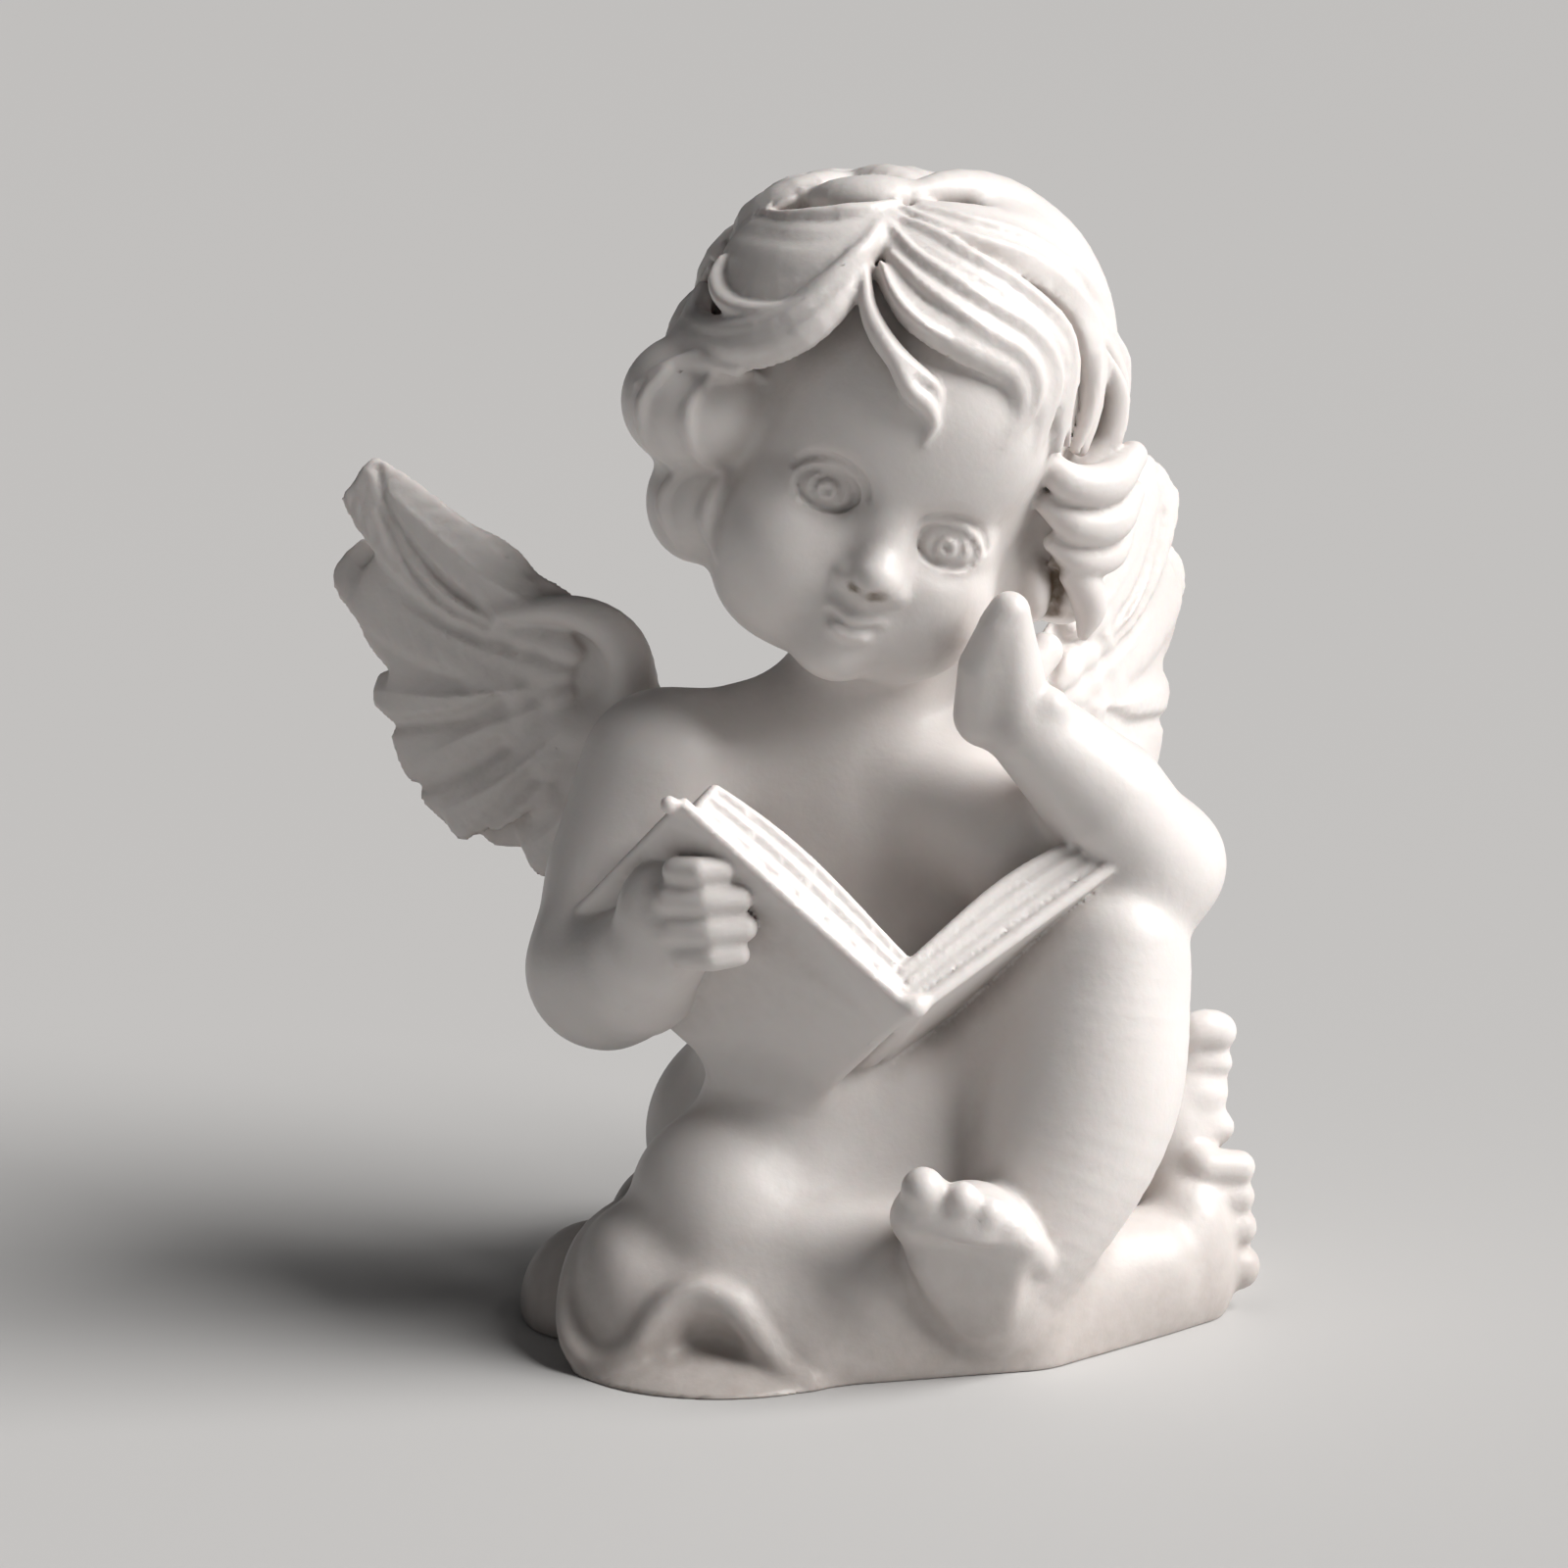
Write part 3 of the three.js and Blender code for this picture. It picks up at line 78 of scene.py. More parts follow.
class Clay:
    """A block of space that forms are pressed onto or cut out of, with soft joins."""

    def __init__(self, low, high, grain):
        self.low = np.array(low, float)
        self.grain = grain
        self.counts = np.ceil((np.array(high) - self.low) / grain).astype(int) + 1
        self.field = np.full(self.counts, OUT_OF_REACH, np.float32)

    def block(self, low, high):
        first = np.clip(np.floor((low - self.low) / self.grain).astype(int), 0, self.counts)
        last = np.clip(np.ceil((high - self.low) / self.grain).astype(int) + 1, 0, self.counts)
        return first, last

    def places(self, first, last):
        axes = [(self.low[i] + self.grain * np.arange(first[i], last[i])).astype(np.float32)
                for i in range(3)]
        return np.meshgrid(*axes, indexing="ij", sparse=True)

    def blend(self, first, last, distance, soft):
        where = tuple(slice(a, b) for a, b in zip(first, last))
        old = self.field[where]
        if soft <= 0:
            self.field[where] = np.minimum(old, distance)
            return
        share = np.clip(0.5 + 0.5 * (old - distance) / soft, 0, 1)
        self.field[where] = old + (distance - old) * share - soft * share * (1 - share)

    def add(self, form, soft=1.0):
        low, high, distance = form
        first, last = self.block(low - soft - 2 * self.grain, high + soft + 2 * self.grain)
        if (last > first).all():
            self.blend(first, last, distance(*self.places(first, last)), soft)

    def cut(self, form, soft=1.0):
        """Inside and outside change places, so that a form that is added is a form cut out."""
        self.field *= -1
        self.add(form, soft)
        self.field *= -1

    def distance_at(self, points):
        """The distances at any points, read between the grid's own places."""
        at = (points - self.low) / self.grain
        first = np.clip(np.floor(at).astype(int), 0, self.counts - 2)
        share = np.clip(at - first, 0, 1)
        value = np.zeros(len(points))
        for corner in ((i, j, k) for i in (0, 1) for j in (0, 1) for k in (0, 1)):
            weight = np.prod(np.abs(1 - np.array(corner) - share), axis=1)
            value += weight * self.field[tuple((first + corner).T)]
        return value

    def touch(self, frame, spots, front=-26.0, reach=20.0, step=0.2):
        """Where straight lines back from in front of a frame's (x, z) spots first meet the clay."""
        depths = front + np.arange(0, reach, step)
        met = []
        for x, z in spots:
            line = np.stack([np.full(len(depths), x), depths, np.full(len(depths), z)], 1)
            values = self.distance_at(frame.out(line))
            first = max(1, int(np.argmax(values < 0)))
            share = values[first - 1] / (values[first - 1] - values[first])
            met.append((x, depths[first - 1] + share * step, z))
        return np.array(met)

    def stroke(self, line, faces, half_width, half_height, soft=0.5, relief=None):
        """A flat tapering form along a line: a lock of hair, a feather, a roll of cloth."""
        line, count = np.array(line, float), len(line)
        wide, tall = half_width * np.ones(count), half_height * np.ones(count)
        along = np.gradient(line, axis=0)
        along /= np.linalg.norm(along, axis=1, keepdims=True)
        faces = np.array(faces, float) * np.ones((count, 1))
        faces = faces - (faces * along).sum(1, keepdims=True) * along
        faces /= np.linalg.norm(faces, axis=1, keepdims=True)
        across = np.cross(along, faces)
        reach = np.maximum(wide, tall)[:, None] + soft + 2 * self.grain
        first, last = self.block((line - reach).min(0), (line + reach).max(0))
        shape = tuple(last - first)
        if min(shape) <= 0:
            return
        best = np.full(shape, OUT_OF_REACH, np.float32)
        side_at, way_at, up_at = (np.zeros(shape, np.float32) for _ in range(3))
        for i in range(count - 1):
            a, b = line[i], line[i + 1]
            near, far = self.block(np.minimum(a, b) - reach[i], np.maximum(a, b) + reach[i])
            near, far = np.maximum(near, first), np.minimum(far, last)
            if not (far > near).all():
                continue
            step = b - a
            length = math.sqrt(float(step @ step)) + 1e-6
            x, y, z = self.places(near, far)
            dx, dy, dz = x - a[0], y - a[1], z - a[2]
            run = (dx * step[0] + dy * step[1] + dz * step[2]) / length ** 2
            t = np.clip(run, 0, 1)
            s, u = unit(across[i] + across[i + 1]), unit(faces[i] + faces[i + 1])
            w = wide[i] + (wide[i + 1] - wide[i]) * t
            h = tall[i] + (tall[i + 1] - tall[i]) * t
            p = (dx * s[0] + dy * s[1] + dz * s[2]) / w
            q = (dx * u[0] + dy * u[1] + dz * u[2]) / h
            end = np.minimum(w, h)
            r = (run - t) * length / end
            k0 = np.sqrt(p * p + q * q + r * r) + 1e-6
            k1 = np.sqrt((p / w) ** 2 + (q / h) ** 2 + (r / end) ** 2) + 1e-6
            d = k0 * (k0 - 1) / k1
            part = tuple(slice(m - f, n - f) for m, n, f in zip(near, far, first))
            nearer = d < best[part]
            best[part] = np.where(nearer, d, best[part])
            side_at[part] = np.where(nearer, p, side_at[part])
            up_at[part] = np.where(nearer, q, up_at[part])
            way_at[part] = np.where(nearer, (i + t) / (count - 1), way_at[part])
        if relief:
            best = best + relief(side_at, way_at, up_at)
        self.blend(first, last, best, soft)


def egg(centre, radii):
    c, r = np.array(centre, float), np.array(radii, float) * np.ones(3)

    def distance(x, y, z):
        a, b, g = (x - c[0]) / r[0], (y - c[1]) / r[1], (z - c[2]) / r[2]
        k0 = np.sqrt(a * a + b * b + g * g) + 1e-6
        k1 = np.sqrt((a / r[0]) ** 2 + (b / r[1]) ** 2 + (g / r[2]) ** 2) + 1e-6
        return k0 * (k0 - 1) / k1
    return c - r, c + r, distance


def limb(points, radii):
    """A chain of rounded, tapering lengths."""
    p = np.array(points, float)
    r = np.array(radii, float) * np.ones(len(p))

    def distance(x, y, z):
        best = None
        for a, b, ra, rb in zip(p[:-1], p[1:], r[:-1], r[1:]):
            step = b - a
            dx, dy, dz = x - a[0], y - a[1], z - a[2]
            t = np.clip((dx * step[0] + dy * step[1] + dz * step[2]) / float(step @ step), 0, 1)
            d = np.sqrt((dx - t * step[0]) ** 2 + (dy - t * step[1]) ** 2 + (dz - t * step[2]) ** 2)
            d = d - (ra + (rb - ra) * t)
            best = d if best is None else np.minimum(best, d)
        return best
    return (p - r[:, None]).min(0), (p + r[:, None]).max(0), distance


def slab(centre, half, rounding):
    c, h = np.array(centre, float), np.array(half, float)

    def distance(x, y, z):
        q = [np.abs(v - c[i]) - (h[i] - rounding) for i, v in enumerate((x, y, z))]
        outside = np.sqrt(sum(np.maximum(v, 0) ** 2 for v in q))
        return outside + np.minimum(np.maximum(np.maximum(q[0], q[1]), q[2]), 0) - rounding
    return c - h, c + h, distance


class Frame:
    """A place and a turn of its own: an origin and three unit axes, given as rows."""

    def __init__(self, origin, right, back, up):
        self.origin = np.array(origin, float)
        self.rows = np.array([right, back, up], float)

    def out(self, points):
        return self.origin + np.asarray(points, float) @ self.rows

    def turn(self, directions):
        return np.asarray(directions, float) @ self.rows

    def place(self, form):
        low, high, inner = form
        ends = (low, high)
        corners = self.out([[ends[i][0], ends[j][1], ends[k][2]]
                            for i in (0, 1) for j in (0, 1) for k in (0, 1)])
        o, m = self.origin, self.rows

        def distance(x, y, z):
            dx, dy, dz = x - o[0], y - o[1], z - o[2]
            return inner(*[dx * m[i, 0] + dy * m[i, 1] + dz * m[i, 2] for i in range(3)])
        return corners.min(0), corners.max(0), distance


def square_axes(first, second):
    """Unit axes: the first as given, the second made square to it, the third square to both."""
    a = unit(first)
    b = unit(np.array(second, float) - np.dot(a, second) * a)
    return a, b, np.cross(a, b)


def smooth_line(points, count):
    """A curve through the points, in count even steps (Catmull-Rom)."""
    p = np.array(points, float)
    ends = np.vstack([2 * p[0] - p[1], p, 2 * p[-1] - p[-2]])
    line = []
    for s in np.linspace(0, len(p) - 1, count):
        i = min(int(s), len(p) - 2)
        t = s - i
        a, b, c, d = ends[i:i + 4]
        line.append(0.5 * (2 * b + (c - a) * t + (2 * a - 5 * b + 4 * c - d) * t ** 2
                           + (3 * b - a - 3 * c + d) * t ** 3))
    return np.array(line)


def leaf(t, root, tip, fullest=0.45):
    """The share of the full width along a lock or feather: root, then 1 at the fullest, then tip."""
    rise = root + (1 - root) * np.sin(np.clip(t / fullest, 0, 1) * math.pi / 2)
    fall = tip + (1 - tip) * np.cos(np.clip((t - fullest) / (1 - fullest), 0, 1) * math.pi / 2)
    return np.where(t < fullest, rise, fall)


def round_limb(points, radii, count=14):
    """A limb whose centre line and thickness both run in smooth curves."""
    thickness = smooth_line(np.array(radii, float)[:, None] * np.ones((1, 3)), count)[:, 0]
    return limb(smooth_line(points, count), thickness)


clay = Clay(CLAY_LOW, CLAY_HIGH, GRAIN)

# The seat.
# A low rock, flat underneath, with the end of a cloth spilling over its left side in two
# waves. Rock and cloth are cast with the figure.
clay.add(egg((-1, 5, 2), (33, 28, 8)), 0)
clay.add(egg((-29.5, -4, 1.5), (8.2, 11, 8.0)), 2)
clay.add(egg((17, 13, 4), (19, 18, 9)), 3)
clay.add(egg((-6, 20, 5), (22, 13, 8)), 4)
clay.add(limb([(-24, -19, 1.5), (-8, -22, 2), (12, -16, 2), (29, -3, 3.5)], [7.5, 7.5, 8.5, 7]), 3)

# The body.
# A small child's round belly, chest and shoulders, turned a little to the right, with the
# head leaning over the right shoulder.
clay.add(egg((-8, 8, 16), (17, 14, 14)), 3)
clay.add(egg((-6, 1, 30), (13.0, 12.2, 14)), 5)
clay.add(egg((-4.5, 3, 49), (15, 11, 15)), 6)
clay.add(egg((7, 2, 38), (11, 9, 13)), 5)
clay.add(limb([(-21, -2, 57), (-5, 4, 59), (11, 8, 57)], [7.2, 8, 7.2]), 5)
clay.add(limb([(-3, 4, 60), (1.0, 1.5, 74)], [8.4, 8.6]), 4)

# The folded leg.
# Thigh and knee lie to the left, the shin crosses behind the raised foot along the ground,
# and its foot shows its toes one above the other at the right end.
clay.add(limb([(-5, 3, 15.5), (-12, -7, 15.5), (-16.5, -14.5, 15.0)], [12.0, 10.6, 9.6]), 3)
clay.add(limb([(-16, -17, 10.5), (-2, -20, 9), (13, -15, 7), (26, -8, 6.5)], [8.0, 8.2, 7.0, 5.6]), 3)
clay.add(egg((-7, -11, 19), (10, 8, 7)), 4)
clay.add(egg((31.0, -3, 7.5), (5.0, 6, 7.5)), 2)
FOLDED_TOES = [(15.4, 1.9), (12.3, 1.9), (9.0, 2.2), (4.8, 2.6)]
for height, radius in FOLDED_TOES:
    clay.add(limb([(32.8, -3.2, height), (36.3, -2.2, height - 0.3)], [radius * 1.05, radius * 0.95]), 0.9)
clay.add(egg((29.0, 3, 19), (5.5, 6.5, 9)), 2.5)
clay.add(limb([(30.4, 3.0, 28.0), (31.8, 2.6, 24.4), (31.8, 1.8, 18.8)], [2.0, 3.2, 3.2]), 1.6)
# Each fold of cloth above the toes: its height, reach to the right, slope and radius.
RUFFLES = [(28.8, 34.2, 1.6, 2.0), (25.4, 34.6, 0.6, 1.2), (22.4, 33.6, -1.6, 1.7), (18.6, 34.8, 1.4, 1.3)]
for height, reach, slope, radius in RUFFLES:
    fold = [(30.2, 0.2, height - slope), (32.0, -0.3, height + 0.4), (reach, 0.8, height),
            (reach - 0.9, 2.6, height - slope)]
    clay.add(round_limb(fold, [0.8 * radius, radius, radius, 0.8 * radius], 10), 1.3)

# The raised leg.
# The right knee stands up under the book. Its shin comes down to a chubby foot that rests
# on its heel and turns its sole to the front.
clay.add(limb([(6, 1, 16), (14, -6, 27), (21.5, -12, 40)], [12.5, 10.5, 8.0]), 4)
clay.add(egg((5, -11, 15), (12, 9, 9)), 4)
clay.add(egg((1.0, -9.5, 23.5), (10, 6.5, 7.5)), 4)
SHIN = [(22.3, -14, 41.5), (21.0, -15, 33), (19.2, -16.6, 25), (15.9, -19.2, 16.5), (11.9, -22.0, 9)]
clay.add(round_limb(SHIN, [7.4, 9.2, 9.5, 7.7, 5.3], 20), 3)
clay.add(round_limb([(7.9, -27.2, 14.2), (8.9, -25.0, 9.6), (10.4, -22.8, 5.9)], [6.4, 5.4, 4.7]), 1.6)
BALL = Frame((7.6, -28.7, 15.9), *square_axes((0.94, 0.1, -0.33), (0.0, 0.7, -0.71)))
clay.add(BALL.place(egg((0, 0, 0), (8.0, 5.4, 3.9))), 1.0)
SOLE = Frame((8.2, -29.8, 10.0), *square_axes((1.0, 0.0, -0.1), (0.0, -0.37, 0.93)))
clay.cut(SOLE.place(slab((0, 0.8, 3.5), (8.0, 6.0, 3.5), 0.6)), 0.8)
TOES = [((3.1, -32.4, 21.4), 2.3), ((6.9, -32.6, 20.4), 1.9), ((9.5, -32.2, 18.9), 1.75),
        ((11.6, -31.6, 17.2), 1.6), ((13.4, -30.8, 15.4), 1.5)]
TOE_ROOT = vec(1.4, 4.6, -3.2)
for tip, radius in TOES:
    clay.add(limb([np.array(tip) + TOE_ROOT, tip], [radius * 1.1, radius * 0.95]), 0.8)
TOE_PADS = [(2.9, -30.8, 18.6), (6.6, -31.2, 18.0), (9.3, -30.8, 16.6), (11.9, -30.0, 14.6)]
clay.add(round_limb(TOE_PADS, [2.5, 2.2, 2.0, 1.7]), 1.4)

# The cloth.
# Its hem rolls over in a tongue at the left front corner and then rises in an arch, with a
# deep hollow below. It is part of the same casting.
HEM = [(-27.0, -10, 13.2), (-30.3, -13, 10.6), (-31.8, -17, 7.6), (-32.3, -20, 4.6),
       (-31.6, -23, 2.2), (-29.6, -25.0, 1.0), (-27.6, -26.2, 1.6), (-25.2, -27.0, 3.6),
       (-23.6, -27.2, 6.2), (-21.4, -27.2, 8.6), (-18.6, -27.4, 9.6), (-15.9, -27.8, 8.6),
       (-14.0, -28.3, 6.4), (-12.3, -28.9, 4.2), (-10.2, -29.3, 2.0), (-8.0, -29.4, 0.8)]
HEM_STEPS = 40
# The hem's radius at shares of its length.
HEM_SHARES, HEM_RADII = [0, 0.12, 0.4, 0.85, 1], [0.7, 1.3, 1.0, 1.0, 0.5]
clay.add(egg((-25.0, -15.5, 7.0), (7.0, 10.0, 8.0)), 2.5)
clay.add(egg((-15.0, -21.0, 6.0), (13.0, 7.6, 6.5)), 2.5)
clay.cut(egg((-18.4, -31.0, 3.4), (4.7, 5.4, 4.6)), 1.2)
clay.add(egg((-17, -21.5, -2.5), (16, 13, 6)), 1.5)
hem_radii = np.interp(np.linspace(0, 1, HEM_STEPS), HEM_SHARES, HEM_RADII)
clay.add(limb(smooth_line(HEM, HEM_STEPS), hem_radii), 1.8)

# The left arm.
# It hangs close to the body, bends at a fat elbow and holds the open book from outside,
# four fingers round the cover.
clay.add(limb([(-23.0, -3, 57), (-27.4, -5, 46), (-28.4, -8, 38)], [8.2, 7.4, 7.6]), 3)
clay.add(limb([(-28.4, -8.5, 37.5), (-25.5, -14, 39.0), (-23.5, -18.5, 42)], [8.0, 7.0, 5.6]), 2)
clay.add(egg((-21.6, -21.0, 46.0), (5.6, 4.2, 6.4)), 1.0)
# Each finger's height, where it starts and ends across the cover, and its radius.
FINGERS = [(51.8, -21.0, -16.4, 1.5), (48.9, -21.6, -14.8, 1.65), (45.9, -21.2, -14.4, 1.65),
           (43.2, -20.0, -15.0, 1.45)]
for height, knuckle, tip, radius in FINGERS:
    middle = 0.5 * (knuckle + tip)
    finger = [(knuckle, -24.8, height - 0.2), (middle, -26.1, height), (tip, -25.8, height + 0.2)]
    clay.add(limb(finger, [radius, radius, radius * 0.84]), 0.9)
wrist_fold = smooth_line([(-28.6, -24.5, 44.6), (-26.8, -25.0, 42.6), (-24.2, -25.4, 41.2)], 6)
clay.cut(limb(wrist_fold, 0.5), 1.6)

# The right arm.
# Its elbow stands on the raised knee and the open hand rests along the cheek.
clay.add(limb([(11, 6, 57), (20, -2, 52), (27, -9, 49)], [8.4, 8.0, 6.6]), 3)
clay.add(limb([(4, -1, 55), (14, -7, 50), (24, -10.5, 47.5)], [7.0, 7.6, 6.0]), 3)
clay.add(limb([(27.4, -11, 48.8), (21.5, -14, 56.5), (13.6, -16.5, 64.4)], [5.9, 6.3, 4.5]), 2.5)
clay.add(limb([(12.6, -17.0, 66.0), (11.9, -18.0, 71.0), (11.6, -19.6, 76.4)], [3.3, 3.0, 2.1]), 1.0)
clay.add(limb([(9.6, -16.0, 65.5), (9.4, -18.0, 70.5), (10.3, -19.8, 75.0)], [3.4, 2.8, 1.8]), 1.0)
clay.add(limb([(14.5, -17.5, 63.8), (15.8, -18.3, 66.5)], [2.6, 2.0]), 1.0)

# The open book.
# Two boards hinged at the spine, each with a block of leaves on it. The near end shows the
# edges of the leaves in shallow lines.
SPINE_FOOT = vec(2.3, -29.0, 38.8)
LEFT_WAY, LEFT_INNER_WAY = vec(-0.5, 0.6, -0.62), vec(-0.35, 0.78, -0.52)
RIGHT_WAY = vec(-0.15, 0.855, -0.49)
# Each board's outer front corner, the way and depth it runs back, and the ways its leaves run back.
BOARDS = [(vec(-20.3, -26.0, 59.0), LEFT_WAY, 26.0, [LEFT_WAY, LEFT_INNER_WAY]),
          (vec(22.5, -18.0, 51.0), RIGHT_WAY, 19.0, [RIGHT_WAY])]
COVER_THICKNESS, COVER_ROUNDING, LEAVES_THICKNESS, LEAVES_DEPTH = 1.5, 0.6, 3.6, 17.0
LEAF_LINES, LEAF_LINE_RADIUS, LEAF_LINE_STEPS = (0.36, 0.7), 0.42, 16


def leaf_height(x, width):
    """The height of the block of leaves, which is crowned towards its outer half."""
    return LEAVES_THICKNESS * (1.0 + 0.35 * np.sin(np.clip(x / width, 0, 1) ** 1.4 * math.pi))


def leaves(width, depth):
    """A block of leaves on a board: x out from the spine, y to the far end, z off the board."""
    def distance(x, y, z):
        half = leaf_height(x, width) / 2
        q = [np.abs(x - width / 2) - width / 2 + 1.0, np.abs(y - depth / 2) - depth / 2 + 1.1,
             np.abs(z - half) - half + 0.6]
        outside = np.sqrt(sum(np.maximum(v, 0) ** 2 for v in q))
        return outside + np.minimum(np.maximum(np.maximum(q[0], q[1]), q[2]), 0) - 0.6
    return vec(0, 0, 0), vec(width, depth, 1.4 * LEAVES_THICKNESS), distance


for side, (corner, depth_way, depth, leaf_ways) in zip((-1, 1), BOARDS):
    width = np.linalg.norm(corner - SPINE_FOOT)
    out, back, normal = square_axes(corner - SPINE_FOOT, depth_way)
    board = Frame(SPINE_FOOT, out, back, normal * side)
    cover_half = (width / 2 + 0.3, depth / 2, COVER_THICKNESS / 2)
    clay.add(board.place(slab((width / 2, depth / 2, 0), cover_half, COVER_ROUNDING)), 0.2)
    block_foot, block_width = board.out((0.6, 0, COVER_THICKNESS / 2 - 0.1)), width - 1.3
    for leaf_way in leaf_ways:
        out, back, normal = square_axes(corner - SPINE_FOOT, leaf_way)
        block = Frame(block_foot, out, back, normal * side)
        clay.add(block.place(leaves(block_width, LEAVES_DEPTH)), 0.1)
    along = np.linspace(1.0, block_width - 1.6, LEAF_LINE_STEPS)
    for share in LEAF_LINES:
        groove = np.stack([along, np.full(LEAF_LINE_STEPS, 0.35), share * leaf_height(along, block_width)], 1)
        clay.cut(block.place(limb(groove, LEAF_LINE_RADIUS)), 0.3)
clay.add(limb([SPINE_FOOT + vec(0, 0.6, 0), SPINE_FOOT + 16 * unit((-0.25, 0.82, -0.5))], [1.2, 1.2]), 0.8)
clay.add(egg(BOARDS[0][0] + vec(-1.4, 0.2, -0.6), 0.95), 0.3)
clay.add(egg((-9.5, -10.5, 26), (9, 7.5, 8)), 3)

# The wings.
# A pair of short broad wings grows from the shoulder blades. Each is a thin hollowed sheet
# of overlapping feathers with a rounded arm bone along its top.
WING_LEAN, WING_LIFT = (15.5, 51.0), (0.0, 4.0)
WING_ROOTS = [(-25.7, 8.0, 64.8), (13.0, 14.0, 59.6)]
WING_SHEETS = [((14, -0.3, -4.2), (13.2, 1.5, 14.8)), ((20, 0.0, 6), (10.5, 1.3, 9)),
               ((7, -0.3, -0.5), (8, 1.3, 7.5))]
# Each long feather from the top one down: its (out, up) marks from root to tip, its half width,
# the share of it left at the tip, how far along it is widest, and how far it stands proud.
FEATHERS = [([(11, 7.4), (16, 10), (21, 13.6), (25.8, 17.2), (29.4, 19.8)], 3.2, 0.6, 0.4, 0.3),
            ([(14, 5.6), (18, 6.6), (23, 10), (27.6, 14.6), (30.4, 18)], 2.5, 0.85, 0.8, 0.7),
            ([(10, 0.5), (17, 2.2), (23.5, 5.0), (29, 8.6), (31.6, 10.6)], 4.3, 0.7, 0.7, 0.0),
            ([(12, -2), (18, -3), (24, -3.4), (28.2, -3.2)], 2.8, 0.75, 0.7, 0.5),
            ([(10, -4), (16, -6.4), (20.6, -8.8), (23.8, -10.8)], 4.2, 0.7, 0.7, 0.1),
            ([(7, -6), (12, -10.5), (17, -13.6), (20.3, -15.2)], 4.4, 0.75, 0.7, 0.5),
            ([(2, -8), (5, -13), (9, -17), (11.5, -18.4)], 4.4, 0.75, 0.7, 0.1)]
# The right wing is held higher, with one more feather above the others and the top of its arm
# sunk behind the hand.
UPPER_FEATHER = ([(9, 7.6), (15, 12.5), (20, 16.6), (25, 19.4), (28, 20.4)], 3.1, 0.7, 0.6, 0.1)
WING_ARM_POINTS = (7, 4)
# Engraved lines between feathers: marks, radius, softness.
FEATHER_LINES = [([(28.1, 20.3), (26.4, 16.2), (23.0, 12.2), (19.6, 8.8), (15.0, 5.9)], 0.5, 0.5),
                 ([(27.4, 16.0), (25.6, 12.6), (23.0, 9.4), (19.6, 6.5), (15.6, 4.9)], 0.5, 0.6),
                 ([(31.4, 1.4), (25.5, 0.6), (19.6, 0.0), (13.9, 0.4)], 0.6, 1.6),
                 ([(26.8, -6.8), (22.6, -5.9), (18.0, -4.9), (14.0, -3.0)], 0.5, 1.2),
                 ([(24.8, -13.4), (19.8, -11.4), (14.1, -7.8)], 0.5, 1.6),
                 ([(17.0, -18.3), (13.6, -14.2), (10.6, -10.8)], 0.5, 1.6)]
FEATHER_STEPS, SHINGLE, FEATHER_SOFT = 12, 0.22, 0.7
# The short feathers lie in arcs round a centre, from the top of each arc down to its foot.
COVERT_CENTRE, COVERT_RADII = (2.0, -1.0), (5.0, 8.6, 12.2)
COVERT_TOP, COVERT_FOOT, COVERT_SPREAD = 38, -82, 170
WING_ARM = [(1.0, 0.5, -3.6), (0.6, -0.2, 0.8), (1.5, -1.0, 3.9), (4.0, -1.8, 6.0), (7.6, -2.2, 6.8),
            (11.6, -2.3, 6.4), (15.0, -2.2, 5.8)]
WING_ARM_RADII = [3.4, 2.6, 2.3, 2.0, 1.6, 1.2, 0.8]


def wing_bow(out):
    return 1.6 - 0.0035 * out * out


def feather_relief(side, way, up):
    shaft = 0.28 * np.exp(-(side / 0.1) ** 2) * np.clip(1.3 - way, 0, 1)
    barb = np.clip(np.sin((way * 9 + np.abs(side) * 1.5) * 2 * math.pi), 0, 1) ** 2
    return 0.13 * barb * np.clip((np.abs(side) - 0.15) * 4, 0, 1) * (np.abs(side) < 1) - shaft


def feather(wing, marks, half_width, tip, fullest, lift, thickness=1.25, relief=feather_relief):
    """A feather laid on the wing's front like a shingle, its lower edge a little proud."""
    marks = smooth_line(marks, FEATHER_STEPS)
    t = np.linspace(0, 1, FEATHER_STEPS)
    along = np.gradient(marks, axis=0)
    along /= np.linalg.norm(along, axis=1, keepdims=True)
    front = wing_bow(marks[:, 0]) + lift + 0.4 * np.sin(t * math.pi)
    faces = np.stack([-SHINGLE * along[:, 1], -np.ones(FEATHER_STEPS), SHINGLE * along[:, 0]], 1)
    line = wing.out(np.stack([marks[:, 0], -front, marks[:, 1]], 1))
    clay.stroke(line, wing.turn(faces), half_width * leaf(t, 0.6, tip, fullest),
                thickness * leaf(t, 1.0, 0.55, 0.3), FEATHER_SOFT, relief)


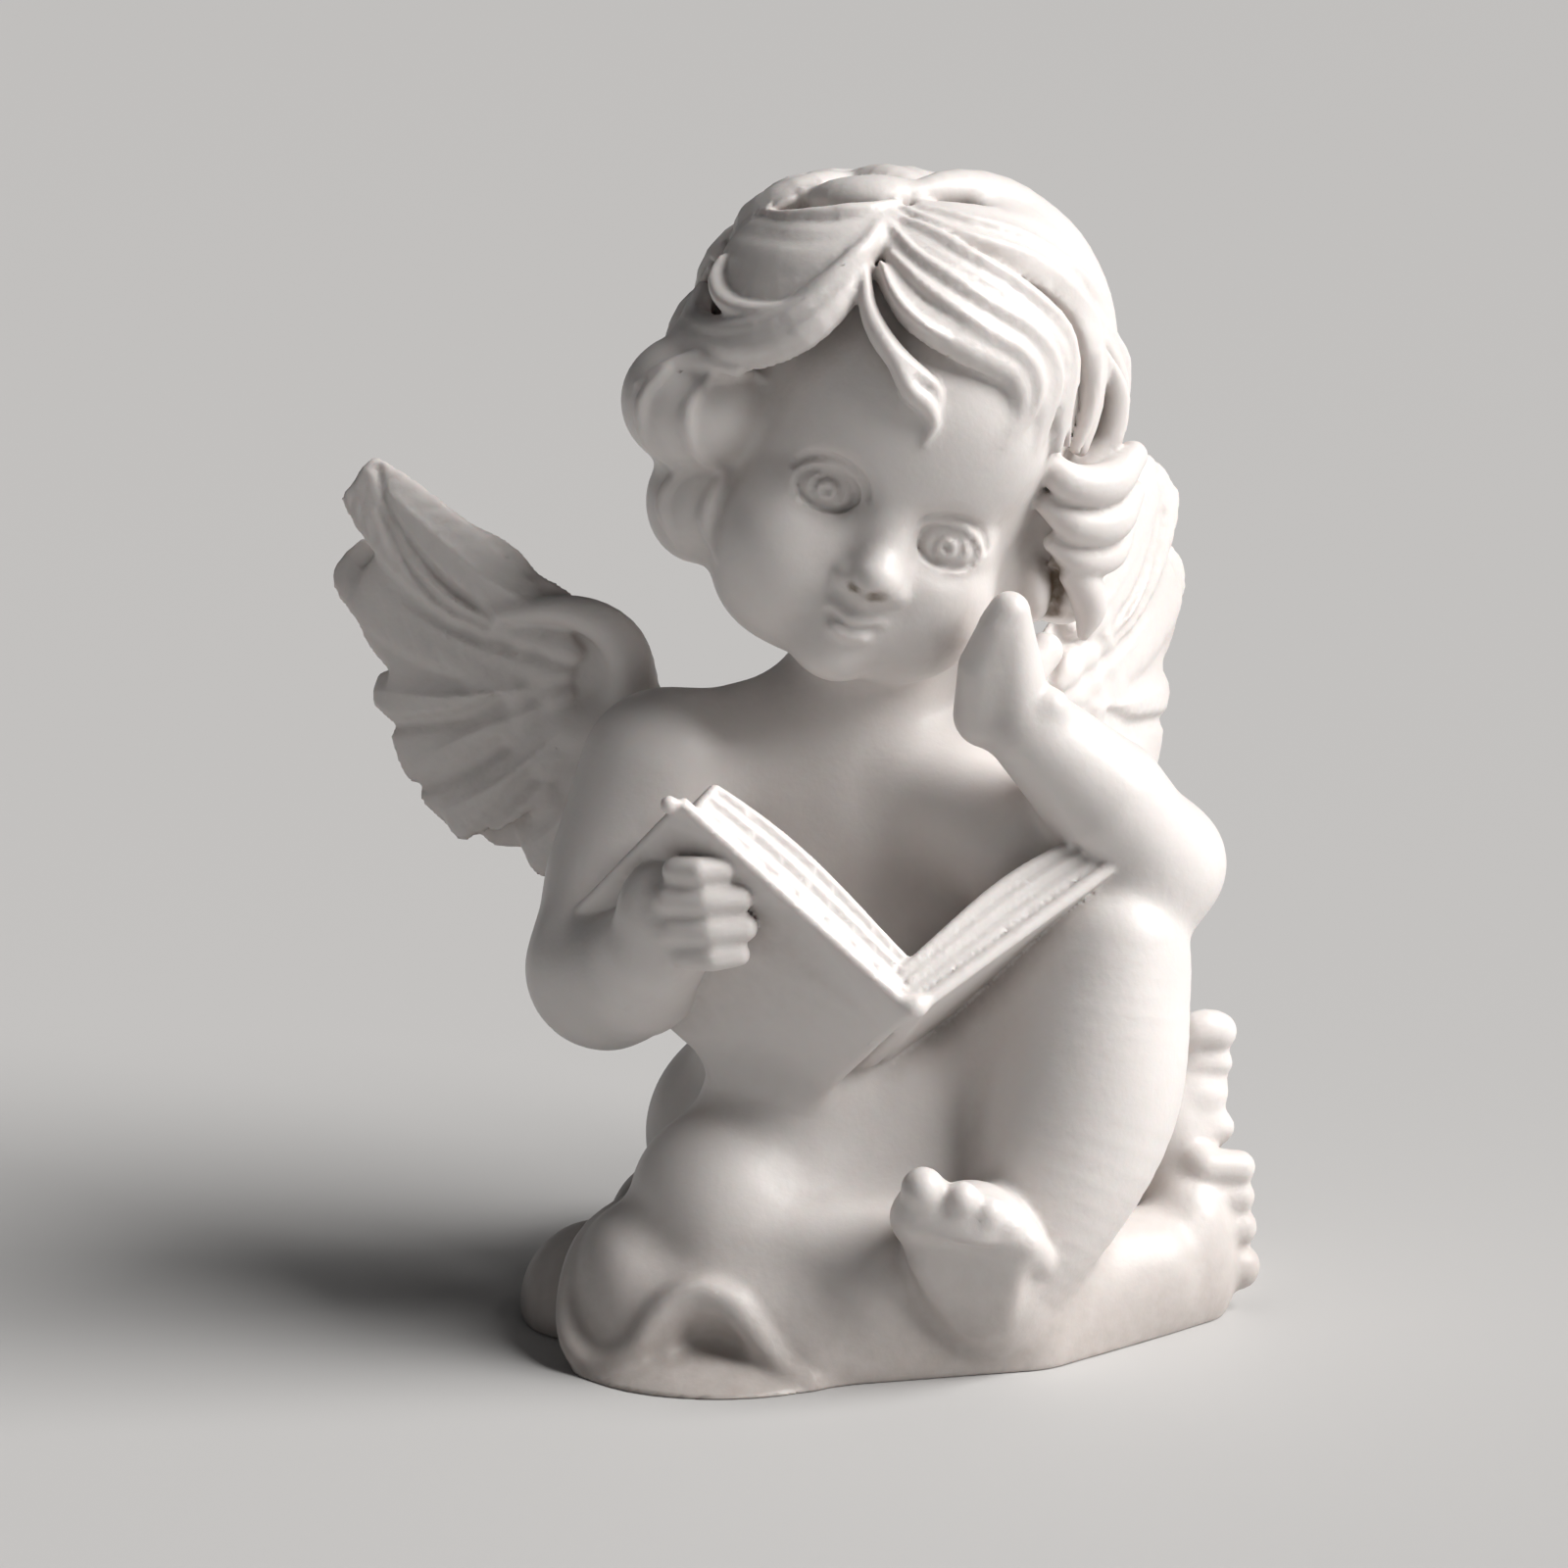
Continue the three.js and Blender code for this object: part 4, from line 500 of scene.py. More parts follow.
for sign, lean, lifted, root, arm_points in zip((-1, 1), WING_LEAN, WING_LIFT, WING_ROOTS, WING_ARM_POINTS):
    swing, rise = math.radians(lean), math.radians(lifted)
    level, upright = vec(sign * math.cos(swing), math.sin(swing), 0), vec(0, 0, 1)
    back_way = vec(-sign * math.sin(swing), math.cos(swing), 0)
    wing = Frame(root, math.cos(rise) * level + math.sin(rise) * upright, back_way,
                 math.cos(rise) * upright - math.sin(rise) * level)
    for centre, radii in WING_SHEETS:
        clay.add(wing.place(egg(centre, radii)), 0.6)
    clay.add(wing.place(limb([(-9, 2, -9), (-1, 0.0, -6), (8, -0.6, -6)], [5.6, 4.4, 2.6])), 2)
    for marks, half_width, tip, fullest, lift in FEATHERS + ([UPPER_FEATHER] if sign > 0 else []):
        feather(wing, marks, half_width, tip, fullest, lift)
    for row, radius in enumerate(COVERT_RADII):
        spacing = COVERT_SPREAD / (radius + 2)
        for angle in np.radians(np.arange(COVERT_TOP - 0.5 * spacing * (row % 2), COVERT_FOOT, -spacing)):
            way = vec(math.cos(angle), math.sin(angle))
            start = COVERT_CENTRE + radius * way
            length = 3.8 + 0.8 * math.sin(11 * angle + row)
            covert = [start, start + 0.5 * length * way, start + length * way - vec(0, 0.4)]
            feather(wing, covert, 1.7, 0.6, 0.6, 0.55, 0.8, None)
    clay.add(wing.place(round_limb(WING_ARM[:arm_points], WING_ARM_RADII[:arm_points], 18)), 0.8)
    for marks, radius, soft in FEATHER_LINES:
        line = clay.touch(wing, smooth_line(marks, FEATHER_STEPS), front=-9.0, reach=14.0)
        clay.cut(wing.place(limb(line, radius * np.linspace(0.7, 1, FEATHER_STEPS))), soft)

# The head.
# A baby's head, bowed and leaning on the hand: full cheeks, a small nose with a chipped tip, and
# wide eyes with lids and irises drawn in fine engraved lines.
HEAD_LEAN, HEAD_BOW = math.radians(21), math.radians(4)
lean_rows = np.array([[math.cos(HEAD_LEAN), 0, -math.sin(HEAD_LEAN)], [0, 1, 0],
                      [math.sin(HEAD_LEAN), 0, math.cos(HEAD_LEAN)]])
bow_rows = np.array([[1, 0, 0], [0, math.cos(HEAD_BOW), math.sin(HEAD_BOW)],
                     [0, -math.sin(HEAD_BOW), math.cos(HEAD_BOW)]])
head = Frame((2.2, -1.0, 91.0), *(bow_rows @ lean_rows))
CHEEKS = [((-8.6, -10.3, -11.5), 6.4), ((6.6, -10.3, -12.0), 6.2), ((-7.6, -7.9, -15.4), 6.9),
          ((5.4, -8.2, -15.0), 6.9)]
EYES = [(-6.8, -5.0), (6.3, -6.2)]
EYE_DEPTH, EYE_RADIUS, LID_THICKNESS = -10.8, 4.6, 0.35
clay.add(head.place(egg((-0.8, 2.0, 4.5), (17.2, 18.8, 18.5))), 3)
clay.add(head.place(egg((-1.5, -2.8, -8.3), (14.8, 13.4, 14.4))), 5)
clay.add(head.place(egg((-1.0, -7.2, -14.2), (12.2, 8.2, 9.2))), 3)
for centre, radius in CHEEKS:
    clay.add(head.place(egg(centre, radius)), 3)
clay.add(head.place(egg((-0.4, -12.6, -20.2), (3.9, 3.6, 3.3))), 2.5)
clay.add(head.place(egg((0.2, -12.6, -15.8), (4.9, 4.0, 4.0))), 2.5)
clay.add(head.place(egg((0.0, -12.2, 4.0), (11, 5.2, 8))), 5)


def engrave(spots, radius, soft=0.3):
    """A groove drawn on the face through the head's (x, z) spots."""
    clay.cut(limb(head.out(clay.touch(head, spots)), radius), soft)


def arc(centre, half_width, half_height, start, end, count=15):
    return [(centre[0] + half_width * math.cos(a), centre[1] + half_height * math.sin(a))
            for a in np.radians(np.linspace(start, end, count))]


for x, z in EYES:
    clay.cut(head.place(egg((x, -17.6, z + 0.4), (4.2, 3.0, 3.2))), 2.0)
    clay.add(head.place(egg((x, EYE_DEPTH, z), EYE_RADIUS + LID_THICKNESS)), 0.8)
    clay.cut(head.place(egg((x, EYE_DEPTH - EYE_RADIUS + 0.2, z - 0.1), (3.15, 2.2, 1.95))), 0.2)
    clay.add(head.place(egg((x, EYE_DEPTH, z), EYE_RADIUS)), 0.1)
    engrave(arc((x, z), 3.1, 2.0, 5, 175), 0.42, 0.15)
    engrave(arc((x, z), 3.1, 1.8, 190, 350), 0.3, 0.15)
    engrave(arc((x, z + 0.2), 4.1, 3.3, 15, 165), 0.42)
    engrave(arc((x, z), 1.5, 1.5, 0, 360, 21), 0.34, 0.1)
    engrave(arc((x, z), 0.1, 0.1, 0, 180, 3), 0.45, 0.2)

NOSE = [(0.1, -14.0, -3.0), (0.5, -16.0, -8.4), (0.7, -17.4, -10.8)]
clay.add(head.place(limb(NOSE, [1.5, 2.0, 2.5])), 2.2)
for side in (-1, 1):
    clay.add(head.place(egg((0.6 + side * 2.4, -16.0, -11.9), (1.4, 1.7, 1.3))), 0.9)
    clay.cut(head.place(egg((0.6 + side * 1.1, -18.4, -13.5), (0.7, 0.9, 0.6))), 0.4)
for chip, radii in (((1.5, -19.4, -12.7), (1.3, 0.8, 0.8)), ((-0.9, -19.0, -12.5), (0.8, 0.6, 0.6))):
    clay.cut(head.place(egg(chip, radii)), 0.2)
MOUTH = smooth_line([(-2.3, -15.9), (-1.1, -16.3), (0.2, -16.55), (1.5, -16.3), (2.7, -15.9)], 12)
UPPER_LIP_RADII = np.interp(np.linspace(-1, 1, 12), [-1, 0, 1], [0.3, 0.55, 0.3])
LOWER_LIP = smooth_line([(-1.3, -17.3), (0.2, -17.7), (1.7, -17.3)], 8)
clay.add(head.place(limb(clay.touch(head, MOUTH) + vec(0, 0.15, 0.6), UPPER_LIP_RADII)), 0.9)
clay.add(head.place(limb(clay.touch(head, LOWER_LIP), 0.5)), 0.9)
engrave(MOUTH, 0.26, 0.5)

# The hair.
# Thick wavy locks part over the left brow. They sweep across the forehead to the right, roll
# back in full waves on the left, and lie in rows of curls behind.
HAIR_CENTRE, HAIR_RADII = vec(-3.4, 2.1, 4.6), vec(20.8, 21.0, 20.2)
LOCK_STEPS = 16


def on_hair(marks, count=LOCK_STEPS):
    """A line on the hair's rounded surface through (turn, height) marks in degrees, turn 0 in front."""
    turn, height = np.radians(np.array(marks, float)).T
    ways = np.stack([np.sin(turn) * np.cos(height), -np.cos(turn) * np.cos(height), np.sin(height)], 1)
    line = smooth_line(ways, count)
    return line / np.linalg.norm(line, axis=1, keepdims=True)


def strand_relief(rows, depth):
    def relief(side, way, up):
        fade = np.sqrt(np.clip(np.sin(np.clip(way * 1.1, 0, 1) * math.pi), 0, 1))
        ripple = np.abs(np.cos((side * 0.5 * rows + 0.12 * np.sin(way * 7)) * math.pi)) ** 4
        return depth * fade * ripple * (np.abs(side) < 0.92)
    return relief


def lock(ways, half_width, height, lift, root=0.45, tip=0.2, rows=0, fullest=0.45, depth=0.45, soft=0.35):
    t = np.linspace(0, 1, len(ways))
    rise = np.interp(t, np.linspace(0, 1, len(lift)), lift)[:, None]
    line = HAIR_CENTRE + HAIR_RADII * ways + ways * rise
    clay.stroke(head.out(line), head.turn(ways / HAIR_RADII), half_width * leaf(t, root, tip, fullest),
                height * leaf(t, 0.8, 0.5, 0.5), soft, strand_relief(rows, depth) if rows else None)


clay.add(head.place(egg((-3.2, 5.4, 5.6), (19.4, 18.0, 18.4))), 0.8)
clay.add(head.place(egg((-3.0, 10.0, -6.0), (17.0, 11.5, 13.0))), 3.0)
# The swept locks from the brow up to the crown: broad bodies first, then the narrow ridges on them.
SWEEP_BODIES = [
    (2.4, [(-20, 38), (-8, 31), (5, 28), (17, 27), (27, 26), (33, 21), (35, 14), (31, 4)]),
    (2.4, [(-26, 47), (-12, 42), (3, 38), (20, 35), (33, 31), (40, 24), (42, 15), (42, 5)]),
    (2.6, [(-30, 54), (-13, 51), (5, 48), (24, 45), (40, 39), (50, 31), (50, 19), (52, 5)]),
    (2.8, [(-32, 60), (-4, 59), (26, 59), (52, 54), (66, 46), (70, 33), (70, 18), (68, 4)]),
    (3.2, [(-28, 65), (0, 69), (40, 69), (70, 62), (86, 51), (91, 38), (88, 24)]),
    (2.4, [(70, 52), (82, 44), (86, 32), (84, 18), (80, 4)])]
SWEEP_RIDGES = [
    (0.7, [(-23, 39), (-14, 32), (-6, 28), (4, 26), (14, 26)]),
    (1.0, [(-22, 43), (-8, 38), (6, 34), (17, 31), (27, 29), (34, 25), (37, 19), (36, 12), (31, 4)]),
    (1.0, [(-29, 51), (-15, 46), (-1, 43), (14, 39), (29, 36), (39, 31), (44, 24), (44, 16), (45, 6)]),
    (1.0, [(-31, 55), (-13, 55), (3, 52), (20, 49), (35, 44), (47, 38), (51, 29), (51, 18), (57, 6)]),
    (1.1, [(-32, 59), (-7, 58), (14, 58), (37, 57), (56, 50), (68, 41), (67, 30), (66, 16), (64, 4)]),
    (1.1, [(-25, 63), (-1, 65), (30, 65), (58, 59), (78, 50), (88, 38), (87, 28), (85, 15), (82, 4)])]
CROWN = [(-45, 69), (-40, 83), (118, 77), (106, 66), (99, 56), (95, 45), (92, 34), (90, 22)]
FRINGE = [(1.2, [(-26, 35), (-20, 27), (-13, 21), (-6, 17), (0, 15), (7, 13), (10, 8)]),
          (1.1, [(-13, 21), (-6, 16), (1, 10), (6, 8), (10, 4), (10, -3)])]
for half_width, marks in SWEEP_BODIES:
    lock(on_hair(marks), half_width, 1.5, (-0.5, 0.2, 0.3, 0.0), root=0.5, tip=0.25, fullest=0.55,
         rows=2, depth=0.2, soft=0.6)
lock(on_hair([(30, 84), (76, 72), (90, 60), (92, 48)]), 3.6, 1.8, (-0.4, 0.2, 0.2, -0.2), tip=0.5, soft=1.2)
lock(on_hair(CROWN, 20), 3.5, 2.2, (-0.4, 0.8, 1.1, 0.8, 0.4), root=0.4, tip=0.4, fullest=0.5, soft=0.8)
lock(on_hair([(78, 34), (90, 22), (91, 10), (86, -2)]), 2.4, 2.0, (0.2, 1.0, 1.4, 0.8), rows=1, depth=0.3)
for half_width, marks in SWEEP_RIDGES:
    lock(on_hair(marks, 20), half_width, 1.3, (0.1, 0.8, 0.9, 0.7, -0.1), root=0.5, tip=0.35, soft=0.4)
for half_width, marks in FRINGE:
    lock(on_hair(marks), half_width, 1.4, (0.1, 0.1, -0.2, -0.6), tip=0.35)
for marks in ([(74, 30), (78, 20), (77, 9), (72, -1)], [(84, 36), (95, 26), (97, 14), (92, 2)]):
    lock(on_hair(marks), 1.1, 1.4, (0.6, 1.8, 2.0, 0.8), tip=0.4, soft=0.5)

# Left of the parting: the top roll, the large wave with its flick, and the wave below.
lock(on_hair([(-48, 72), (-54, 64), (-62, 57), (-74, 50), (-90, 44)]), 2.8, 2.0, (-0.5, 0.0, 0.0, -0.6))
lock(on_hair([(-36, 54), (-38, 43), (-46, 34), (-58, 28), (-76, 24), (-94, 22)]), 4.6, 2.2,
     (-0.5, -0.2, 0.0, 0.0, -0.2), root=0.4, tip=0.6, fullest=0.6, rows=2, depth=0.25, soft=0.6)
lock(on_hair([(-34, 42), (-39, 30), (-49, 20), (-62, 15), (-80, 14)]), 3.4, 1.8,
     (-0.6, -0.4, -0.2, -0.4), tip=0.6, soft=0.8)
lock(on_hair([(-39, 60), (-42, 51), (-53, 42), (-68, 35), (-94, 30)]), 1.1, 1.5, (0.0, 1.0, 1.0, 0.4))
lock(on_hair([(-36, 52), (-31, 43), (-31, 36), (-33, 28), (-37, 21), (-41, 15)]), 1.2, 1.6,
     (0.0, 0.7, 0.8, 0.6), tip=0.5)
lock(on_hair([(-34, 24), (-38, 17), (-45, 12), (-54, 9), (-63, 9), (-71, 12), (-74, 17)]), 1.1, 1.5,
     (0.6, 1.0, 1.3, 1.5), tip=0.4)
lock(on_hair([(-29, 36), (-30, 27), (-33, 17), (-40, 8), (-51, 1), (-65, -3), (-82, -3), (-94, 4)]), 3.0, 2.2,
     (-0.4, 0.5, 0.8, 0.6, 0.2), rows=2, depth=0.3)

# Below the waves two soft lobes cover the ear, each with a few drawn strands.
LOBES = [((-19.0, -5.0, 95.2), (7.8, 8.5, 7.0)), ((-18.9, -2.5, 84.6), (5.5, 8.0, 6.2))]
LOBE_STRANDS = [[(-12.5, 98.0), (-16.5, 100.0), (-21.0, 99.8), (-25.0, 97.6)],
                [(-22.0, 99.4), (-24.4, 96.0), (-24.0, 92.0), (-21.6, 89.2)],
                [(-17.4, 99.0), (-19.8, 95.6), (-19.4, 91.6), (-17.0, 88.8)],
                [(-20.6, 89.0), (-22.6, 85.4), (-21.2, 81.0)],
                [(-16.4, 88.6), (-18.2, 84.6), (-17.2, 80.4)]]
STRAND_STEPS = 10
# The whole figure's own frame, and how far in front of it and how deep the clay is looked for.
square_on = Frame((0, 0, 0), (1, 0, 0), (0, 1, 0), (0, 0, 1))
SEARCH_FRONT, SEARCH_REACH = -30.0, 45.0
for centre, radii in LOBES:
    clay.add(egg(centre, radii), 2.5)
for marks in LOBE_STRANDS:
    line = clay.touch(square_on, smooth_line(marks, STRAND_STEPS), SEARCH_FRONT, SEARCH_REACH)
    clay.add(limb(line, 0.9 * np.sin(np.linspace(0.25, 2.9, STRAND_STEPS))), 0.7)

# Right of the face: a soft mass over the ear, three short curls one below another on it, a
# hanging lock, and the ear lobe with a narrow gap behind it.
RIGHT_MASSES = [((18.6, -1.0, 84.0), (5.6, 6.6, 7.6)), ((17.6, -1.0, 76.4), (3.6, 5.4, 4.6)),
                ((12.0, -2.6, 77.6), (4.6, 5.0, 6.4))]
RIGHT_CURLS = [([(14.8, -9.6, 90.4), (18.0, -9.6, 87.6), (21.8, -7.2, 87.2), (24.4, -3.8, 89.4)],
                [1.2, 2.0, 2.2, 1.6]),
               ([(15.6, -9.0, 85.4), (18.8, -8.8, 83.2), (22.2, -6.6, 83.2), (24.3, -3.2, 85.6)],
                [1.2, 1.9, 2.1, 1.5]),
               ([(16.4, -8.4, 81.4), (19.2, -7.8, 79.6), (22.0, -5.6, 79.8), (23.6, -2.6, 81.8)],
                [1.1, 1.7, 1.8, 1.3]),
               ([(17.2, -7.4, 79.4), (19.4, -6.8, 77.0), (20.2, -6.2, 74.4), (19.6, -6.0, 71.6)],
                [1.3, 1.9, 1.7, 0.7])]
for centre, radii in RIGHT_MASSES:
    clay.add(egg(centre, radii), 2.0)
for line, radii in RIGHT_CURLS:
    clay.add(round_limb(line, radii), 0.5)
clay.add(egg((14.7, -5.6, 76.4), (1.8, 2.8, 3.4)), 0.6)
EAR_GAP = smooth_line([(16.0, 79.8), (16.9, 77.0), (16.4, 73.8)], 6)
crevice = clay.touch(square_on, EAR_GAP, SEARCH_FRONT, SEARCH_REACH)
clay.cut(limb(crevice, 0.5), 0.4)

# Behind: rows of plain curls from the crown down to the nape. Each row is its height, how far
# its curls drop, their half width and spacing, and how far they stand off the hair's round.
BACK_ROWS = [(80, 30, 4.8, 42, -1.3), (52, 30, 4.6, 28, 0.0), (26, 30, 4.4, 28, 0.0), (0, 28, 4.2, 28, 0.4),
             (-22, 24, 4.0, 28, 2.0), (-42, 18, 3.6, 30, 4.2)]
# The turns between which a row's curls lie, from the left ear round behind to the right one, and
# how far every second row is shifted.
BACK_FROM, BACK_TO, BACK_SHIFT = 104, 262, 14
for row, (height, drop, half_width, spacing, stand) in enumerate(BACK_ROWS):
    for turn in range(BACK_FROM + BACK_SHIFT * (row % 2), BACK_TO, spacing):
        marks = [(turn - 8, height), (turn + 6, height - 0.35 * drop), (turn + 4, height - 0.75 * drop),
                 (turn - 8, height - drop)]
        lifts = (stand - 0.6, stand + 0.5, stand + 0.6, stand - 0.2)
        lock(on_hair(marks, 12), half_width, 2.0, lifts, tip=0.3, rows=2, depth=0.35, soft=0.6)

# The casting.
# The clay's surface becomes one closed shell of resin plaster, flat underneath. It stands for
# the figure's one solid node.
UNDERSIDE = 0.0
SKIN_TRIANGLES = 190000
METRES = 0.001
heights = clay.places(np.zeros(3, int), clay.counts)[2]
clay.field = np.maximum(clay.field, (UNDERSIDE - heights).astype(np.float32))


def skin(field, low, grain):
    """Closed quads where the distances change sign, with one vertex in each cell that is crossed."""
    inside = field < 0
    nx, ny, nz = field.shape
    filled = np.zeros((nx - 1, ny - 1, nz - 1), np.uint8)
    corners = [(i, j, k) for i in (0, 1) for j in (0, 1) for k in (0, 1)]
    for i, j, k in corners:
        filled += inside[i:nx - 1 + i, j:ny - 1 + j, k:nz - 1 + k]
    cells = np.argwhere((filled > 0) & (filled < 8))
    number = np.full(filled.shape, -1, np.int32)
    number[tuple(cells.T)] = np.arange(len(cells))
    total, hits = np.zeros((len(cells), 3)), np.zeros(len(cells))
    for start in corners:
        for axis in range(3):
            if start[axis]:
                continue
            end = tuple(1 if i == axis else start[i] for i in range(3))
            a = field[tuple((cells + start).T)].astype(float)
            b = field[tuple((cells + end).T)].astype(float)
            crossed = (a < 0) != (b < 0)
            t = np.where(crossed, a / np.where(crossed, a - b, 1), 0)
            point = np.array(start, float) + t[:, None] * (np.array(end, float) - np.array(start, float))
            total += point * crossed[:, None]
            hits += crossed
    vertices = low + grain * (cells + total / hits[:, None])
    faces = []
    for axis in range(3):
        u, v = (axis + 1) % 3, (axis + 2) % 3
        here, there = [slice(None)] * 3, [slice(None)] * 3
        here[axis], there[axis] = slice(0, -1), slice(1, None)
        a, b = inside[tuple(here)], inside[tuple(there)]
        edges = np.argwhere(a != b)
        edges = edges[(edges[:, u] > 0) & (edges[:, v] > 0)]
        leaves_solid = a[tuple(edges.T)]
        ring = []
        for du, dv in ((0, 0), (-1, 0), (-1, -1), (0, -1)):
            cell = edges.copy()
            cell[:, u] += du
            cell[:, v] += dv
            ring.append(number[tuple(cell.T)])
        quad = np.stack(ring, 1)
        quad[~leaves_solid] = quad[~leaves_solid][:, ::-1]
        faces.append(quad)
    return vertices, np.vstack(faces)


def largest_surface(vertices, quads):
    """The largest connected surface alone, without the tiny bubbles shut in between forms."""
    label = np.arange(len(vertices))
    a, b = np.concatenate([quads[:, :2], quads[:, 1:3], quads[:, 2:]]).T
    while (label[a] != label[b]).any():
        lower = np.minimum(label[a], label[b])
        np.minimum.at(label, label[a], lower)
        np.minimum.at(label, label[b], lower)
        while (label[label] != label).any():
            label = label[label]
    kept = label == np.bincount(label).argmax()
    number = np.cumsum(kept) - 1
    return vertices[kept], number[quads[kept[quads[:, 0]]]]


def put(name, data):
    """A new object in the scene."""
    thing = bpy.data.objects.new(name, data)
    bpy.context.scene.collection.objects.link(thing)
    return thing


def work_in(thing, modifier):
    """The object's mesh with the modifier's work in it, in place of the modifier."""
    bpy.context.view_layer.update()
    finished = bpy.data.meshes.new_from_object(thing.evaluated_get(bpy.context.evaluated_depsgraph_get()))
    thing.modifiers.remove(modifier)
    thing.data = finished
    return finished


vertices, quads = largest_surface(*skin(clay.field, clay.low, clay.grain))
shell = bpy.data.meshes.new("cherub_figurine_skin")
shell.vertices.add(len(vertices))
shell.vertices.foreach_set("co", (vertices * METRES).ravel())
shell.loops.add(quads.size)
shell.loops.foreach_set("vertex_index", quads.ravel().astype(np.int32))
shell.polygons.add(len(quads))
shell.polygons.foreach_set("loop_start", np.arange(0, quads.size, 4, dtype=np.int32))
shell.update(calc_edges=True)
shell.validate()
casting = put("cherub_casting", shell)

thin = casting.modifiers.new("thin", "DECIMATE")
thin.ratio = min(1.0, SKIN_TRIANGLES / (2 * len(quads)))
thinned = work_in(casting, thin)
for face in thinned.polygons:
    face.use_smooth = True

# The casting's marks.
# Every crease is darkened a little: painted shade, where shade falls. The chipped underside of the nose
# is a real blemish, stained brown, and the gap behind the ear lobe is painted dark brown as painted
# shade in the gap. Both are kept as shares, 0 to 1: the crease shade, and the stains with the gap shade.
CREASE_REACH, CREASE_START = (0.8, 2.2), 1.15
CHIP_SPOTS = [((1.3, -18.6, -12.3), 0.95), ((-0.9, -18.0, -12.4), 0.6), ((2.4, -17.2, -11.6), 0.6)]
GAP_SHADE_RADIUS, STAIN_AND_SHADE_EDGE = 0.95, 1.6
corner_places = np.empty(len(thinned.vertices) * 3)
thinned.vertices.foreach_get("co", corner_places)
corner_places = corner_places.reshape(-1, 3) / METRES
normals = np.empty(len(thinned.vertices) * 3)
thinned.vertex_normals.foreach_get("vector", normals)
normals = normals.reshape(-1, 3)
corner_places[:, 2] = np.maximum(corner_places[:, 2], 0)
thinned.vertices.foreach_set("co", (corner_places * METRES).ravel())
# The crease share: how closely the clay closes in round each point. The material darkens these places as
# painted shade, where shade falls in the creases.
crease_shade = np.zeros(len(corner_places))
for reach in CREASE_REACH:
    open_air = clay.distance_at(corner_places + normals * reach)
    crease_shade += np.clip(CREASE_START - open_air / reach, 0, 1) / len(CREASE_REACH)
# The stain share: brown stains on the chipped nose, and dark brown along the gap behind the ear lobe as
# painted shade in the gap.
stain_and_gap_shade = np.zeros(len(corner_places))
stains_and_gap_shade = [(head.out(spot), radius) for spot, radius in CHIP_SPOTS] + [(spot, GAP_SHADE_RADIUS) for spot in crevice]
for centre, radius in stains_and_gap_shade:
    away = np.linalg.norm(corner_places - centre, axis=1)
    stain_and_gap_shade = np.maximum(stain_and_gap_shade, np.clip(STAIN_AND_SHADE_EDGE - away / radius, 0, 1))
for name, values in (("crease_shade", crease_shade), ("stain_and_gap_shade", stain_and_gap_shade)):
    thinned.attributes.new(name, "FLOAT", "POINT").data.foreach_set("value", values.astype(np.float32))

# The casting's finish.
# White resin plaster under a thin satin coat: faintly warm and uneven in tone, darker in the creases as
# painted shade, darker towards the underside as painted shade with a little brown dirt, brown where the
# nose is chipped, dark brown in the gap behind the ear lobe as painted shade, and with the small pits of
# the mould's surface.
PLASTER = (0.80, 0.765, 0.745)
# The shaded plaster is a darker copy of the plaster: painted shade in the creases and towards the bottom, and
# the darker side of the random clouds.
SHADED_PLASTER = (0.53, 0.485, 0.46)
# The dark brown: chip stains and dirt near the bottom, and painted shade in the gap behind the ear lobe and
# near the bottom.
DIRT_AND_SHADE = (0.16, 0.115, 0.075)
CREASE_SHADE_SHARE, CLOUD_SIZE, CRUMB_SHARE, PIT_SIZE, FOOT_SHADE_HEIGHT = 0.75, 0.014, 0.12, 0.0007, 0.021
# How strongly the painted crease shade, the clouds and the painted shade towards the foot darken the plaster,
# and how much dark brown goes in: stains, painted shade in the ear gap, and dirt with painted shade at the
# foot.
BROKEN_LEAST, BROKEN_CRUMBS, CLOUD_LEVEL, CLOUD_TONE, FOOT_SHADE = 0.55, 0.9, 0.42, 0.5, 0.8
STAIN_AND_SHADE_LEAST, FOOT_DIRT_AND_SHADE = 0.35, 0.3
ROUGH_LEAST, ROUGH_CLOUDS, ROUGH_CREASE, PIT_HEIGHT, CRUMB_HEIGHT = 0.36, 0.12, 0.3, 0.6, 0.8
COAT_AND_DEPTH = {"IOR": 1.5, "Coat Weight": 0.12, "Coat Roughness": 0.3, "Subsurface Weight": 0.12,
                  "Subsurface Scale": 0.0012}
BUMP_STRENGTH, BUMP_DEPTH = 0.35, 0.00012


def math_node(tree, operation, a, b=0.0, clamp=False):
    """The result of a Math node in a tree. Each of a and b is a number or another node's socket."""
    node = tree.nodes.new("ShaderNodeMath")
    node.operation, node.use_clamp = operation, clamp
    for socket, value in zip(node.inputs, (a, b)):
        if isinstance(value, (int, float)):
            socket.default_value = value
        else:
            tree.links.new(value, socket)
    return node.outputs[0]


